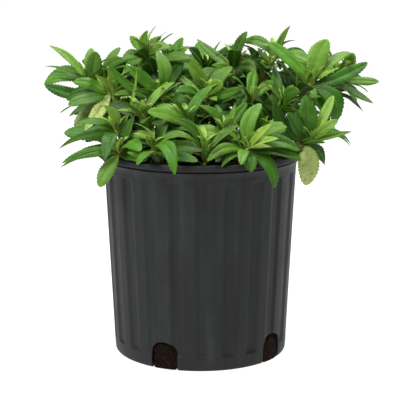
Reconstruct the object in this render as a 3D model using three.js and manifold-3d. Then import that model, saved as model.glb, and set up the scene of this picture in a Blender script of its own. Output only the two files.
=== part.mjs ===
// Potted spiked speedwell, not yet in flower: a dense mat of leafy shoots in a nursery pot.
// Millimetres, +Z up. The origin is the middle of the pot's flat underside.
import * as THREE from 'three';
import { mergeVertices } from 'three/addons/utils/BufferGeometryUtils.js';
import Module from 'manifold-3d';

const wasm = await Module();
wasm.setup();

// Pot: a blow-moulded one-gallon nursery can
const potHeight = 165;
const rimRadius = 82.5;
const wallRadiusTop = 77.2;
const wallRadiusBase = 69.1;
const cornerRadius = 4;
const wall = 2.2;
const floorThickness = 2.4;
const beadDepth = 5.4;
const grooveDepth = 0.9;
const fluteCount = 22;
const fluteDepth = 1.1;
const fluteShare = 0.43;
const fluteBottom = 12;
const fluteTop = 150;
const firstFlute = -88.3;
const sides = 2 * fluteCount;
const drainWidth = 22;
const drainHeight = 22.5;
const drainBearings = [246, 324, 66, 144];
const drainReach = 18;
const drainCrown = 0.8;
const cutterReach = 4;

// Potting mix: fills the pot to a little under the rim
const mixLevel = 150;
const mixCrown = 2.5;
const gap = 0.35;
const mixShrink = 0.3;

// Shoots: each stands in a plain hole in the mix
const stemRadius = 1.5;
const stemSides = 4;
const stemFoot = 12;
const stemStraight = 20;
const leanStart = 0.45;
const holeRadius = 2.7;
const holeLength = 40;
const ringSpacing = 17;

// Leaves: a folded blade, toothed along both edges
const bladeThickness = 1.2;
const clearance = 0.4;
const ownReach = 9;
const rootDepth = 2;
const pairSpacing = 8;
const outwardShare = 0.7;
const towardsViewer = new THREE.Vector3(0, -1, 0.8);
const seed = 20251;

// Edge points as [place along the blade, share of its width]: a tooth is an outer one, then an inner
// one. A young leaf has an entire edge, and an inner leaf one tooth on each side.
const youngLength = 16;
const youngEdge = [[0.2, 1], [0.5, 1], [0.84, 1]];
const innerEdge = [[0.2, 0.98], [0.5, 1.06], [0.56, 0.86], [0.84, 1.06]];
const broadEdge = [[0.16, 0.9], [0.44, 1.04], [0.5, 0.88], [0.78, 1.08], [0.9, 0.92]];
const narrowEdge = [[0.15, 1], [0.42, 1.06], [0.49, 0.88], [0.74, 1.08], [0.83, 0.86]];
const shortRibs = [0.5];
const longRibs = [0.36, 0.7];

// Pairs by rule: each value is [at the tip, change for a millimetre further down, random spread]
const pairRise = [46, -1.4, 20];
const pairLength = [28, 0.45, 8];
const pairWidth = [10, 0.12, 2];
const pairArch = [0.06, 0, 0.12];
const pairBearingSpread = 40;
const droopShare = 0.9;
const rollSpread = 30;
const foldSpread = 12;
const narrowWidth = 7;
const narrowFold = 26;
const broadFold = 14;

// Each shoot: where its stem leaves the mix, where its tip is, and its leaves that face the viewer.
// A leaf is [distance below the tip, bearing, rise, length, width, arch]: bearing 0 is +X and
// 90 is the back, rise is above level, and arch is the bow of its midrib as a share of its length.
// pairs is how many more pairs grow by rule down the stem, the first of them at from, and each
// a quarter turn round from the one above. inner lists the leaves that fill the mat between them.
const shoots = [
  { name: 'shoot_left_high', root: [-46, 6], tip: [-92, 8, 220], turn: 95, from: 14, pairs: 2,
    leaves: [
      [0, 165, 40, 42, 8, 0.05], [0, -168, 66, 17, 3.5, 0], [2, 87, 59, 30, 11, 0.01],
      [3, -47, 72, 27, 14.5, -0.04], [4, 177, -1, 38, 17, 0.21], [5, 150, 22, 34, 7.5, 0.05],
      [12, -169, 7, 43, 12, -0.1],
    ],
    inner: [
      [49, -150, -20, 30, 11, 0.1], [54, 135, -5, 38, 13.5, 0.1],
    ] },
  { name: 'shoot_left_middle', root: [-44, -14], tip: [-73, -16, 213], turn: 20, from: 16, pairs: 2,
    leaves: [
      [0, -150, 84, 21, 7.5, 0.22], [0, -7, -2, 19, 8, 0.07], [2, -172, 21, 31, 11, 0.1],
      [3, -156, -8, 36, 13, 0.03], [4, -113, -60, 39, 18.5, 0.04], [8, -167, -31, 38, 16.5, 0.02],
      [11, -163, -15, 41, 9, 0.1],
    ],
    inner: [
      [19, 90, 10, 38, 13.5, 0.1], [4, 165, -5, 38, 13.5, 0.1], [29, -165, -20, 38, 13.5, 0.1],
    ] },
  { name: 'shoot_left_low', root: [-50, -34], tip: [-66, -44, 187], turn: 60, from: 8, pairs: 2,
    leaves: [
      [0, -169, 65, 23, 9, 0.17], [0, 147, 56, 13, 5.5, 0.05], [2, 34, 70, 52, 3.5, -0.08],
      [3, 171, 0, 43, 15, -0.01], [4, -105, -22, 37, 12, 0.25], [3, -12, -3, 44, 8, 0.04],
    ],
    inner: [] },
  { name: 'shoot_left_rim', root: [-52, -40], tip: [-64, -52, 172], turn: 30, from: 7, pairs: 1,
    leaves: [
      [0, -167, -9, 44, 9, 0.07], [1, -138, -51, 31, 13, 0.06], [0, -120, 67, 10, 8.5, 0.02],
      [2, -58, 12, 34, 13, 0.19], [2, -43, -11, 30, 13, 0.01],
    ],
    inner: [] },
  { name: 'shoot_front_left', root: [-27, -58], tip: [-37, -66, 178], turn: 75, from: 8, pairs: 2,
    leaves: [
      [0, -60, -23, 38, 12.5, 0.29], [1, -6, 4, 36, 8.5, 0.26], [2, -27, -9, 38, 11, -0.03],
      [0, -137, 55, 12, 5.5, 0.05], [3, -158, 2, 23, 7, -0.1],
    ],
    inner: [] },
  { name: 'shoot_front_middle', root: [14, -46], tip: [19, -58, 189], turn: 55, from: 9, pairs: 2,
    leaves: [
      [0, 0, 80, 13, 3.5, 0.02], [0, -38, 66, 24, 5.5, -0.05], [1, 177, 45, 30, 7, 0.18],
      [2, -46, -6, 16, 11, 0.05], [3, -173, 9, 23, 13, 0.05], [4, 170, 7, 41, 7.5, 0.05],
      [3, 9, 54, 30, 9.5, 0.02],
    ],
    inner: [] },
  { name: 'shoot_front_right', root: [28, -54], tip: [37, -68, 177], turn: 40, from: 9, pairs: 1,
    leaves: [
      [0, 41, 70, 36, 13.5, 0.17], [0, 81, 61, 31, 10, 0.02], [0, -23, 32, 36, 12, 0.14],
      [1, -7, 1, 39, 12.5, 0.16], [2, -10, -8, 41, 12, 0.11], [3, -31, -46, 35, 13.5, 0.19],
      [3, -145, -5, 37, 9.5, 0.18], [4, -138, -17, 27, 6.5, 0.16], [4, -100, -9, 28, 9.5, 0.19],
      [5, -81, -25, 24, 13, 0.22],
    ],
    inner: [] },
  { name: 'shoot_right_low', root: [56, -28], tip: [87, -40, 179], turn: 100, from: 12, pairs: 1,
    leaves: [
      [0, 27, 59, 39, 10, -0.02], [0, -32, 37, 29, 9.5, -0.01], [1, -19, 15, 34, 6.5, -0.01],
      [2, 28, -11, 40, 5, 0.2], [3, 11, -7, 36, 6.5, 0.29], [3, 124, 84, 36, 15.5, 0.08],
      [4, -162, 50, 43, 13.5, -0.15], [6, -85, -67, 33, 18, 0.34], [6, 22, -41, 24, 11, 0.13],
      [5, -132, 49, 35, 11, 0.03],
    ],
    inner: [] },
  { name: 'shoot_right_middle', root: [50, 0], tip: [91, -6, 221], turn: 15, from: 14, pairs: 2,
    leaves: [
      [0, 35, 68, 35, 17.5, 0.08], [1, 23, 34, 40, 12, 0.09], [0, -28, 28, 25, 4.5, 0.02],
      [2, 168, 41, 48, 13, 0.03], [3, 5, 20, 48, 12.5, -0.08], [5, -24, -55, 37, 16.5, 0.3],
      [6, -67, -43, 18, 6.5, 0.21], [9, -28, -55, 34, 11, 0.12],
    ],
    inner: [] },
  { name: 'shoot_right_high', root: [58, 18], tip: [114, 12, 222], turn: 10, from: 8, pairs: 3,
    leaves: [
      [0, -9, 62, 22, 12.5, -0.02], [0, -7, 32, 24, 5, -0.04], [1, -3, -5, 32, 9.5, -0.02],
      [3, -29, -29, 36, 7.5, -0.03],
    ],
    inner: [
      [19, 30, -5, 38, 13.5, 0.1], [4, 105, 25, 38, 13.5, 0.1], [24, 75, 25, 38, 13.5, 0.1],
      [4, 30, -5, 30, 11, 0.1],
    ] },
  { name: 'shoot_top_right', root: [30, 14], tip: [61, 14, 239], turn: 0, from: 10, pairs: 3,
    leaves: [
      [0, -40, 60, 29, 6.5, 0.03], [1, 152, 21, 31, 10.5, 0.18], [2, -23, -4, 32, 11.5, 0.12],
      [3, 21, -16, 37, 6.5, 0.34], [4, 154, 7, 28, 4.5, -0.01],
    ],
    inner: [
      [4, 75, -20, 30, 11, 0.1], [34, 120, 55, 38, 13.5, 0.1],
    ] },
  { name: 'shoot_top_middle', root: [18, 24], tip: [29, 20, 229], turn: 50, from: 13, pairs: 3,
    leaves: [
      [0, -10, 73, 31, 9.5, 0.1], [1, 153, 33, 42, 9, -0.02], [2, -44, 0, 23, 11.5, 0.26],
      [3, -149, 16, 23, 7, 0.07],
    ],
    inner: [
      [4, -90, 25, 38, 13.5, 0.1], [54, 75, -5, 38, 13.5, 0.1],
    ] },
  { name: 'shoot_centre', root: [3, -12], tip: [5, -22, 213], turn: 70, from: 9, pairs: 3,
    leaves: [
      [0, -166, 59, 28, 14.5, 0.06], [1, -41, 33, 20, 12, 0.1], [2, 5, 49, 31, 12, 0.05],
      [2, 152, 32, 42, 6.5, -0.03], [3, -34, 17, 35, 10, -0.03], [4, -73, 5, 27, 7.5, 0.05],
    ],
    inner: [
      [29, 45, -5, 38, 13.5, 0.1],
    ] },
  { name: 'shoot_centre_left', root: [-22, -20], tip: [-32, -20, 213], turn: 60, from: 11, pairs: 3,
    leaves: [
      [0, 134, 84, 34, 12, 0.26], [1, 40, 47, 34, 11.5, 0.01], [0, -51, 26, 12, 4.5, 0.05],
      [3, -39, -7, 33, 9, 0.1], [2, -170, 42, 36, 11, 0.02], [4, 179, 34, 48, 9, -0.15],
      [5, -151, -35, 48, 12, 0.22],
    ],
    inner: [] },
  { name: 'shoot_top_left', root: [-24, 12], tip: [-44, 5, 242], turn: 60, from: 8, pairs: 3,
    leaves: [
      [0, -39, 84, 19, 7.5, 0.19], [0, 167, 47, 19, 9.5, -0.03], [0, 22, 46, 19, 8.5, 0.07],
      [2, -172, -7, 20, 11.5, 0.13], [2, -23, 20, 22, 9.5, 0.17], [3, -118, -32, 19, 5.5, -0.01],
    ],
    inner: [
      [9, -30, 10, 38, 13.5, 0.1], [64, 105, -5, 38, 13.5, 0.1],
    ] },
  { name: 'shoot_left_back', root: [-46, 28], tip: [-81, 28, 217], turn: 120, from: 4, pairs: 3,
    leaves: [
      [0, 16, 61, 31, 9.5, 0.06], [1, -17, 41, 29, 11, 0.21],
    ],
    inner: [
      [14, 180, -5, 38, 13.5, 0.1], [19, 180, -20, 38, 13.5, 0.1], [4, 150, 40, 30, 11, 0.1],
      [4, 90, 10, 38, 13.5, 0.1], [19, 105, -20, 38, 13.5, 0.1], [19, -15, 40, 38, 13.5, 0.1],
    ] },
  { name: 'shoot_back_left', root: [-14, 36], tip: [-23, 26, 233], turn: 80, from: 6, pairs: 3,
    leaves: [
      [0, -16, 41, 20, 7, 0.11], [1, -131, 38, 17, 10, 0.1], [2, -37, 15, 20, 9, 0.1],
    ],
    inner: [
      [9, 180, 25, 38, 13.5, 0.1], [19, 105, 55, 38, 13.5, 0.1],
    ] },
  { name: 'shoot_back_middle', root: [6, 46], tip: [5, 36, 225], turn: 20, from: 4, pairs: 3,
    leaves: [
      [1, -173, 37, 24, 7.5, 0.08],
    ],
    inner: [
      [4, -120, 40, 38, 13.5, 0.1], [4, 105, 40, 38, 13.5, 0.1], [4, -15, 40, 38, 13.5, 0.1],
    ] },
  { name: 'shoot_front_low', root: [-6, -40], tip: [-11, -48, 196], turn: 35, from: 6, pairs: 3,
    leaves: [
      [3, -150, 11, 34, 12.5, 0.05], [2, 158, 26, 32, 9, 0.08],
    ],
    inner: [] },
  { name: 'shoot_inner_left', root: [-34, -38], tip: [-46, -40, 200], turn: 25, from: 6, pairs: 3,
    leaves: [
      [1, 12, 44, 36, 9, 0.08], [3, -10, -20, 37, 11, 0.04],
    ],
    inner: [] },
  { name: 'shoot_inner_right', root: [26, -22], tip: [41, -28, 208], turn: 65, from: 3, pairs: 3,
    leaves: [
      [1, 36, 16, 36, 9, 0.22],
    ],
    inner: [] },
  { name: 'shoot_right_inner', root: [42, -22], tip: [66, -26, 204], turn: 20, from: 5, pairs: 3,
    leaves: [
      [2, 150, 30, 28, 7.5, 0.05], [3, -46, 41, 25, 12.5, 0.2],
    ],
    inner: [] },
  { name: 'shoot_low_middle', root: [4, -64], tip: [3, -68, 177], turn: 25, from: 2, pairs: 2,
    leaves: [
      [1, 162, -3, 40, 12, 0.11], [1, 28, -6, 38, 11, 0.12],
    ],
    inner: [] },
  { name: 'shoot_low_left', root: [-36, -8], tip: [-42, -14, 184], turn: 70, from: 2, pairs: 2,
    leaves: [],
    inner: [] },
  { name: 'shoot_low_centre', root: [-10, 6], tip: [-12, -2, 190], turn: 15, from: 2, pairs: 3,
    leaves: [],
    inner: [] },
  { name: 'shoot_low_right', root: [34, -40], tip: [48, -48, 184], turn: 80, from: 2, pairs: 3,
    leaves: [],
    inner: [] },
  { name: 'shoot_rim_back_left', root: [-36, 54], tip: [-46, 70, 180], turn: 35, from: 2, pairs: 2,
    leaves: [],
    inner: [
      [9, 105, 10, 38, 13.5, 0.1],
    ] },
  { name: 'shoot_rim_back_middle', root: [0, 66], tip: [2, 80, 178], turn: 20, from: 2, pairs: 2,
    leaves: [],
    inner: [
      [4, 15, 10, 38, 13.5, 0.1],
    ] },
  { name: 'shoot_rim_back_right', root: [38, 54], tip: [50, 68, 182], turn: 70, from: 2, pairs: 2,
    leaves: [],
    inner: [] },
  { name: 'shoot_rim_right', root: [64, 4], tip: [77, 4, 181], turn: 75, from: 2, pairs: 2,
    leaves: [],
    inner: [
      [4, 15, -5, 38, 13.5, 0.1],
    ] },
  { name: 'shoot_back_far_left', root: [-38, 50], tip: [-60, 60, 216], turn: 130, from: 6, pairs: 4,
    leaves: [],
    inner: [
      [19, 90, -20, 38, 13.5, 0.1], [4, 75, -20, 38, 13.5, 0.1], [49, 180, 10, 38, 13.5, 0.1],
      [19, 90, 40, 38, 13.5, 0.1], [49, 150, 10, 38, 13.5, 0.1],
    ] },
  { name: 'shoot_back_low', root: [-14, 60], tip: [-24, 72, 214], turn: 100, from: 6, pairs: 4,
    leaves: [],
    inner: [
      [4, 30, 40, 38, 13.5, 0.1], [14, 120, 25, 38, 13.5, 0.1], [29, 135, -20, 38, 13.5, 0.1],
      [4, 60, -5, 38, 13.5, 0.1],
    ] },
  { name: 'shoot_back_far', root: [14, 62], tip: [20, 74, 213], turn: 80, from: 6, pairs: 4,
    leaves: [],
    inner: [
      [19, 75, 25, 38, 13.5, 0.1], [9, 15, 40, 38, 13.5, 0.1], [14, 60, 25, 38, 13.5, 0.1],
    ] },
  { name: 'shoot_back_right', root: [34, 42], tip: [52, 56, 220], turn: 50, from: 6, pairs: 5,
    leaves: [],
    inner: [] },
  { name: 'shoot_back_far_right', root: [48, 46], tip: [80, 62, 212], turn: 40, from: 6, pairs: 4,
    leaves: [],
    inner: [
      [14, 90, -5, 38, 13.5, 0.1], [9, 90, -5, 38, 13.5, 0.1], [4, 105, 10, 38, 13.5, 0.1],
      [29, 75, 10, 38, 13.5, 0.1], [14, 0, 10, 38, 13.5, 0.1], [44, -60, 10, 30, 11, 0.1],
    ] },
  { name: 'shoot_right_back', root: [60, 30], tip: [94, 38, 214], turn: 15, from: 5, pairs: 4,
    leaves: [],
    inner: [
      [14, -30, -20, 38, 13.5, 0.1], [4, -120, 25, 38, 13.5, 0.1], [9, 30, -20, 38, 13.5, 0.1],
    ] },
];

// A leaf that would cross a neighbour is bent clear: it takes the smallest turn and lift, in
// degrees, that leaves it free, and only then is it made shorter.
const bends = [];
for (let turn = -45; turn <= 45; turn += 9) {
  for (let lift = -27; lift <= 27; lift += 9) bends.push([turn, lift]);
}
bends.sort((a, b) => Math.abs(a[0]) + Math.abs(a[1]) - Math.abs(b[0]) - Math.abs(b[1]));
const shortenings = [1, 0.85, 0.7];

const radians = THREE.MathUtils.degToRad;
const degrees = THREE.MathUtils.radToDeg;
const point = (x, y, z) => new THREE.Vector3(x, y, z);

// A small repeatable random number generator, 0 to 1.
function randomFrom(start) {
  let state = start;
  return () => {
    state = (state * 16807) % 2147483647;
    return state / 2147483647;
  };
}

// Solids from three.js geometry and back, for cutting and joining.
function solidOf(geometry) {
  const bare = geometry.clone();
  bare.deleteAttribute('normal');
  bare.deleteAttribute('uv');
  const merged = mergeVertices(bare, 1e-4);
  const index = merged.index.array;
  const triangles = [];
  for (let i = 0; i < index.length; i += 3) {
    const [a, b, c] = [index[i], index[i + 1], index[i + 2]];
    if (a !== b && b !== c && c !== a) triangles.push(a, b, c);
  }
  return solidFrom(merged.attributes.position.array, triangles);
}

function solidFrom(positions, triangles) {
  return new wasm.Manifold(new wasm.Mesh({
    numProp: 3,
    vertProperties: new Float32Array(positions),
    triVerts: new Uint32Array(triangles),
  }));
}

function geometryOf(solid) {
  const mesh = solid.getMesh();
  const geometry = new THREE.BufferGeometry();
  geometry.setAttribute('position', new THREE.BufferAttribute(new Float32Array(mesh.vertProperties), 3));
  geometry.setIndex(new THREE.BufferAttribute(new Uint32Array(mesh.triVerts), 1));
  geometry.computeVertexNormals();
  return geometry;
}

// A body of revolution about the pot's axis, with a flat side for each rib and flute.
function turned(profile) {
  const points = profile.map(([radius, height]) => new THREE.Vector2(radius, height));
  const geometry = new THREE.LatheGeometry(points, sides);
  geometry.rotateX(Math.PI / 2);
  geometry.rotateZ(radians(firstFlute - 180 / sides));
  return solidOf(geometry);
}

const wallRadiusAt = (z) => wallRadiusBase + (wallRadiusTop - wallRadiusBase) * (z / potHeight);

// Pot: rounded foot, straight taper, a groove and a bead at the rim, flutes and drain holes
function potSolid() {
  const beadBottom = potHeight - beadDepth;
  const outside = [[0, 0]];
  for (const angle of [0, 45, 90]) {
    const turnedBy = radians(angle);
    outside.push([
      wallRadiusBase - cornerRadius + cornerRadius * Math.sin(turnedBy),
      cornerRadius - cornerRadius * Math.cos(turnedBy),
    ]);
  }
  outside.push(
    [wallRadiusAt(beadBottom - 3), beadBottom - 3],
    [wallRadiusAt(beadBottom) + 1.6, beadBottom - 1.2],
    [wallRadiusAt(beadBottom) + 1.6 - grooveDepth, beadBottom],
    [rimRadius, beadBottom + 1.4],
    [rimRadius - 0.5, potHeight],
    [rimRadius - 5.5, potHeight],
    [wallRadiusAt(beadBottom - 3) - wall, beadBottom - 3],
    [wallRadiusBase - wall, floorThickness + 3],
    [wallRadiusBase - wall - 3, floorThickness],
    [0, floorThickness],
  );
  let pot = turned(outside);
  for (let i = 0; i < fluteCount; i += 1) {
    pot = pot.subtract(fluteCutter(firstFlute + (i * 360) / fluteCount));
  }
  for (const bearing of drainBearings) {
    pot = pot.subtract(drainCutter(bearing));
  }
  return pot;
}

// A flute: a shallow upright channel in one flat side of the wall
function fluteCutter(bearing) {
  const flat = Math.cos(Math.PI / sides);
  const positions = [];
  for (const height of [fluteBottom, fluteTop]) {
    const face = wallRadiusAt(height) * flat;
    const across = wallRadiusAt(height) * Math.tan(radians((180 * fluteShare) / fluteCount));
    positions.push(face - fluteDepth, -across, height, face - fluteDepth, across, height);
    positions.push(face + cutterReach, across, height, face + cutterReach, -across, height);
  }
  const geometry = new THREE.BufferGeometry();
  geometry.setAttribute('position', new THREE.BufferAttribute(new Float32Array(positions), 3));
  geometry.setIndex([
    0, 1, 2, 0, 2, 3, 4, 6, 5, 4, 7, 6, 0, 5, 1, 0, 4, 5,
    1, 6, 2, 1, 5, 6, 2, 7, 3, 2, 6, 7, 3, 4, 0, 3, 7, 4,
  ]);
  geometry.rotateZ(radians(bearing));
  return solidOf(geometry);
}

// A drain hole: an arched opening through the wall that runs out at the foot
function drainCutter(bearing) {
  const half = drainWidth / 2;
  const crown = half * drainCrown;
  const shape = new THREE.Shape();
  shape.moveTo(-half, -floorThickness);
  shape.lineTo(half, -floorThickness);
  shape.lineTo(half, drainHeight - crown);
  shape.absellipse(0, drainHeight - crown, half, crown, 0, Math.PI, false);
  shape.lineTo(-half, -floorThickness);
  const geometry = new THREE.ExtrudeGeometry(shape, {
    depth: drainReach, bevelEnabled: false, curveSegments: 4,
  });
  geometry.rotateX(Math.PI / 2);
  geometry.rotateZ(Math.PI / 2);
  geometry.translate(wallRadiusBase - drainReach / 2, 0, 0);
  geometry.rotateZ(radians(bearing));
  return solidOf(geometry);
}

// Potting mix with a plain hole for each stem
function mixSolid() {
  const low = floorThickness + gap;
  const radiusAt = (z) => wallRadiusAt(z) - wall - gap - mixShrink;
  let mix = turned([
    [0, low],
    [radiusAt(low) - 4, low],
    [radiusAt(mixLevel), mixLevel - 1],
    [0, mixLevel + mixCrown],
  ]);
  for (const shoot of shoots) {
    const hole = new THREE.CylinderGeometry(holeRadius, holeRadius, holeLength, stemSides);
    hole.rotateX(Math.PI / 2);
    hole.translate(shoot.root[0], shoot.root[1], mixLevel - stemFoot - gap + holeLength / 2);
    mix = mix.subtract(solidOf(hole));
  }
  return mix;
}

// A stem rises straight out of the mix, then leans over to its tip. Its rings stand at equal steps
// of height.
class StemCurve extends THREE.Curve {
  constructor(root, tip) {
    super();
    this.foot = point(root[0], root[1], mixLevel - stemFoot);
    this.tip = point(...tip);
    this.rise = this.tip.z - this.foot.z;
    this.steps = Math.max(2, Math.round(this.rise / ringSpacing));
  }

  getPoint(t, target = new THREE.Vector3()) {
    const straight = stemStraight / this.rise;
    const share = Math.max(0, (t - straight) / (1 - straight));
    target.lerpVectors(this.foot, this.tip, share * (leanStart + (1 - leanStart) * share));
    target.z = this.foot.z + this.rise * t;
    return target;
  }

  getUtoTmapping(u) {
    return u;
  }

  // The middle of the stem at a distance down from its tip, along the straight runs between rings.
  placeDown(distance) {
    let left = distance;
    let top = this.getPoint(1);
    for (let i = this.steps - 1; i > 0; i -= 1) {
      const next = this.getPoint(i / this.steps);
      const run = top.distanceTo(next);
      if (left <= run) return top.lerp(next, left / run);
      left -= run;
      top = next;
    }
    return top;
  }
}

function stemSolid(curve) {
  const shape = new THREE.Shape();
  for (let i = 0; i < stemSides; i += 1) {
    const angle = (2 * Math.PI * i) / stemSides;
    const place = [stemRadius * Math.cos(angle), stemRadius * Math.sin(angle)];
    if (i === 0) shape.moveTo(...place);
    else shape.lineTo(...place);
  }
  shape.closePath();
  return solidOf(new THREE.ExtrudeGeometry(shape, {
    extrudePath: curve, steps: curve.steps, bevelEnabled: false,
  }));
}

// The share of full width at t along a leaf that is broadest at a given place. A broad leaf has
// a rounder tip than a narrow one.
function widthShare(t, broadest) {
  const bent = t ** (Math.log(0.5) / Math.log(broadest));
  return Math.sin(Math.PI * bent) ** (broadest > 0.5 ? 0.52 : 0.7);
}

// The edge points and the places of the midrib's points, by the kind of leaf.
function edgeAndRibs({ length, broadest, plain }) {
  if (length < youngLength) return [youngEdge, shortRibs];
  if (plain) return [innerEdge, shortRibs];
  return [broadest > 0.5 ? broadEdge : narrowEdge, longRibs];
}

// One blade, as a closed solid: a folded section with a midrib above and below, and toothed edges.
// extra makes it fuller all round, for testing that it lies clear of its neighbours.
function bladeSolid(leaf, extra) {
  const { base, along, side, up, square, length, width, arch, fold, broadest } = leaf;
  const midrib = (t, lift) => base.clone()
    .addScaledVector(along, length * t)
    .addScaledVector(square, 4 * arch * length * t * (1 - t))
    .addScaledVector(up, lift);
  const half = bladeThickness / 2 + extra;
  const [edge, ribs] = edgeAndRibs(leaf);
  const positions = [];
  const add = (place) => {
    positions.push(place.x, place.y, place.z);
    return positions.length / 3 - 1;
  };
  const first = add(midrib(0, 0));
  const last = add(midrib(1, 0).addScaledVector(along, extra));
  const above = [first, ...ribs.map((t) => add(midrib(t, half))), last];
  const below = [first, ...ribs.map((t) => add(midrib(t, -half))), last];
  const edgeLine = (sign) => [first, ...edge.map(([t, share]) => {
    const reach = (width / 2) * widthShare(t, broadest) * share + extra;
    return add(midrib(t, reach * Math.sin(fold)).addScaledVector(side, sign * reach * Math.cos(fold)));
  }), last];
  const ribStops = [0, ...ribs, 1];
  const edgeStops = [0, ...edge.map(([t]) => t), 1];
  const triangles = [];
  for (const sign of [1, -1]) {
    const margin = edgeLine(sign);
    for (const [line, face] of [[above, sign], [below, -sign]]) {
      let i = 0;
      let j = 0;
      while (i < line.length - 1 || j < margin.length - 1) {
        const stepRib = j === margin.length - 1
          || (i < line.length - 1 && ribStops[i + 1] <= edgeStops[j + 1]);
        const a = line[i];
        const b = margin[j];
        const c = stepRib ? line[i + 1] : margin[j + 1];
        if (stepRib) i += 1;
        else j += 1;
        if (a === b || b === c || c === a) continue;
        if (face > 0) triangles.push(a, c, b);
        else triangles.push(a, b, c);
      }
    }
  }
  return solidFrom(positions, triangles);
}

// The leaf's own directions. along runs from root to tip, square is the side that its midrib bows
// to, and up is where its upper face looks, which is towards spec.face as far as it can be.
function laidOut(base, spec, bend, shortening) {
  const bearing = radians(spec.bearing + bend[0]);
  const rise = radians(Math.max(-80, Math.min(86, spec.rise + bend[1])));
  const along = point(Math.cos(rise) * Math.cos(bearing), Math.cos(rise) * Math.sin(bearing), Math.sin(rise));
  const square = along.clone().cross(point(-Math.sin(bearing), Math.cos(bearing), 0));
  const side = spec.face.clone().cross(along).normalize().applyAxisAngle(along, radians(spec.roll));
  const up = along.clone().cross(side);
  return {
    ...spec, base, along, side, up, square, length: spec.length * shortening, fold: radians(spec.fold),
  };
}

// A value by rule at a distance down the stem, with the next random draw for its spread.
function byRule([atTip, change, spread], down, share) {
  return atTip + change * down + share * spread;
}

// The random draws for one leaf, always the same number of them.
function leafSpec(random, face, plain, down, bearing, rise, length, width, arch) {
  const roll = (random() - 0.5) * rollSpread;
  const fold = (width < narrowWidth ? narrowFold : broadFold) + (random() - 0.5) * foldSpread;
  const broadest = width > 9 ? 0.56 : 0.46;
  return { face, plain, down, bearing, rise, length, width, arch, roll, fold, broadest };
}

// All leaves of a shoot: those that face the viewer, then pairs by rule down the stem, then the
// inner ones.
function leafSpecs(shoot, index) {
  const random = randomFrom(seed + 97 * index);
  random();
  const specs = shoot.leaves.map((leaf) => leafSpec(random, towardsViewer, false, ...leaf));
  const leanX = shoot.tip[0] - shoot.root[0];
  const leanY = shoot.tip[1] - shoot.root[1];
  const lean = droopShare * Math.atan2(Math.hypot(leanX, leanY), shoot.tip[2] - mixLevel);
  const leanBearing = Math.atan2(leanY, leanX);
  const face = point(leanX, leanY, 0).normalize().multiplyScalar(outwardShare);
  face.z = 1;
  for (let pair = 0; pair < shoot.pairs; pair += 1) {
    const down = shoot.from + pairSpacing * pair;
    for (const turn of [0, 180]) {
      const bearing = shoot.turn + 90 * pair + turn + (random() - 0.5) * pairBearingSpread;
      const droop = degrees(lean * Math.cos(radians(bearing) - leanBearing));
      const rise = byRule(pairRise, down, random() - 0.5) - droop;
      const length = byRule(pairLength, down, random());
      const width = byRule(pairWidth, down, random());
      const arch = byRule(pairArch, down, random());
      specs.push(leafSpec(random, face, true, down, bearing, rise, length, width, arch));
    }
  }
  return specs.concat(shoot.inner.map((leaf) => leafSpec(random, towardsViewer, true, ...leaf)));
}

// Whether a test solid meets another anywhere further than reach from a point.
function meets(test, other, from, reach) {
  if (!boxesMeet(test.box, other.box)) return false;
  const shared = test.solid.intersect(other.solid);
  let hit = false;
  if (!shared.isEmpty()) {
    if (reach === 0) hit = true;
    else {
      const box = shared.boundingBox();
      const middle = point(...box.min).add(point(...box.max)).multiplyScalar(0.5);
      const corner = point(...box.max).sub(middle).length();
      hit = middle.distanceTo(from) + corner > reach;
    }
  }
  shared.delete();
  return hit;
}

function boxesMeet(a, b) {
  return [0, 1, 2].every((axis) => a.min[axis] <= b.max[axis] && b.min[axis] <= a.max[axis]);
}

const boxed = (solid, owner) => ({ solid, owner, box: solid.boundingBox() });

// Grow every shoot. The leaves that face the viewer go first, then the pairs by rule and the inner
// leaves. A leaf that finds no room is left out.
function growShoots(ground) {
  const stems = shoots.map((shoot, index) => {
    const curve = new StemCurve(shoot.root, shoot.tip);
    return { shoot, index, curve, solid: stemSolid(curve), specs: leafSpecs(shoot, index) };
  });
  const placed = stems.map((stem) => boxed(stem.solid, stem.index));
  const turns = [];
  for (const stem of stems) {
    stem.specs.forEach((spec, order) => {
      turns.push({ stem, spec, order, late: order >= stem.shoot.leaves.length });
    });
  }
  turns.sort((a, b) => (a.late - b.late) || (a.late ? a.order - b.order : 0));
  for (const { stem, spec } of turns) {
    const base = stem.curve.placeDown(spec.down + rootDepth);
    const clear = (leaf) => {
      const test = boxed(bladeSolid(leaf, clearance), stem.index);
      const hit = placed.some((other) => meets(test, other, base, other.owner === stem.index ? ownReach : 0))
        || (test.box.min[2] < potHeight + 1 && meets(test, ground, base, 0));
      test.solid.delete();
      return !hit;
    };
    let leaf = null;
    for (const shortening of shortenings) {
      for (const bend of bends) {
        if (leaf) break;
        const tried = laidOut(base, spec, bend, shortening);
        if (clear(tried)) leaf = tried;
      }
    }
    if (leaf) placed.push(boxed(bladeSolid(leaf, 0), stem.index));
  }
  return stems.map((stem) => {
    const parts = placed.filter((entry) => entry.owner === stem.index).map((entry) => entry.solid);
    return { name: stem.shoot.name, solid: parts.reduce((whole, part) => whole.add(part)) };
  });
}

// Materials: dark moulded polyethylene, damp bark mix, and leaves in a few greens
const potPlastic = new THREE.MeshStandardMaterial({ color: 0x3b3e40, roughness: 0.5, metalness: 0 });
const barkMix = new THREE.MeshStandardMaterial({ color: 0x3a2a1e, roughness: 0.95, metalness: 0 });
const greens = [0x4f8f2f, 0x5d9c3a, 0x467f2a, 0x6aa63f];

const plant = new THREE.Group();

function addPiece(name, solid, material) {
  const mesh = new THREE.Mesh(geometryOf(solid), material);
  mesh.name = name;
  plant.add(mesh);
}

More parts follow.
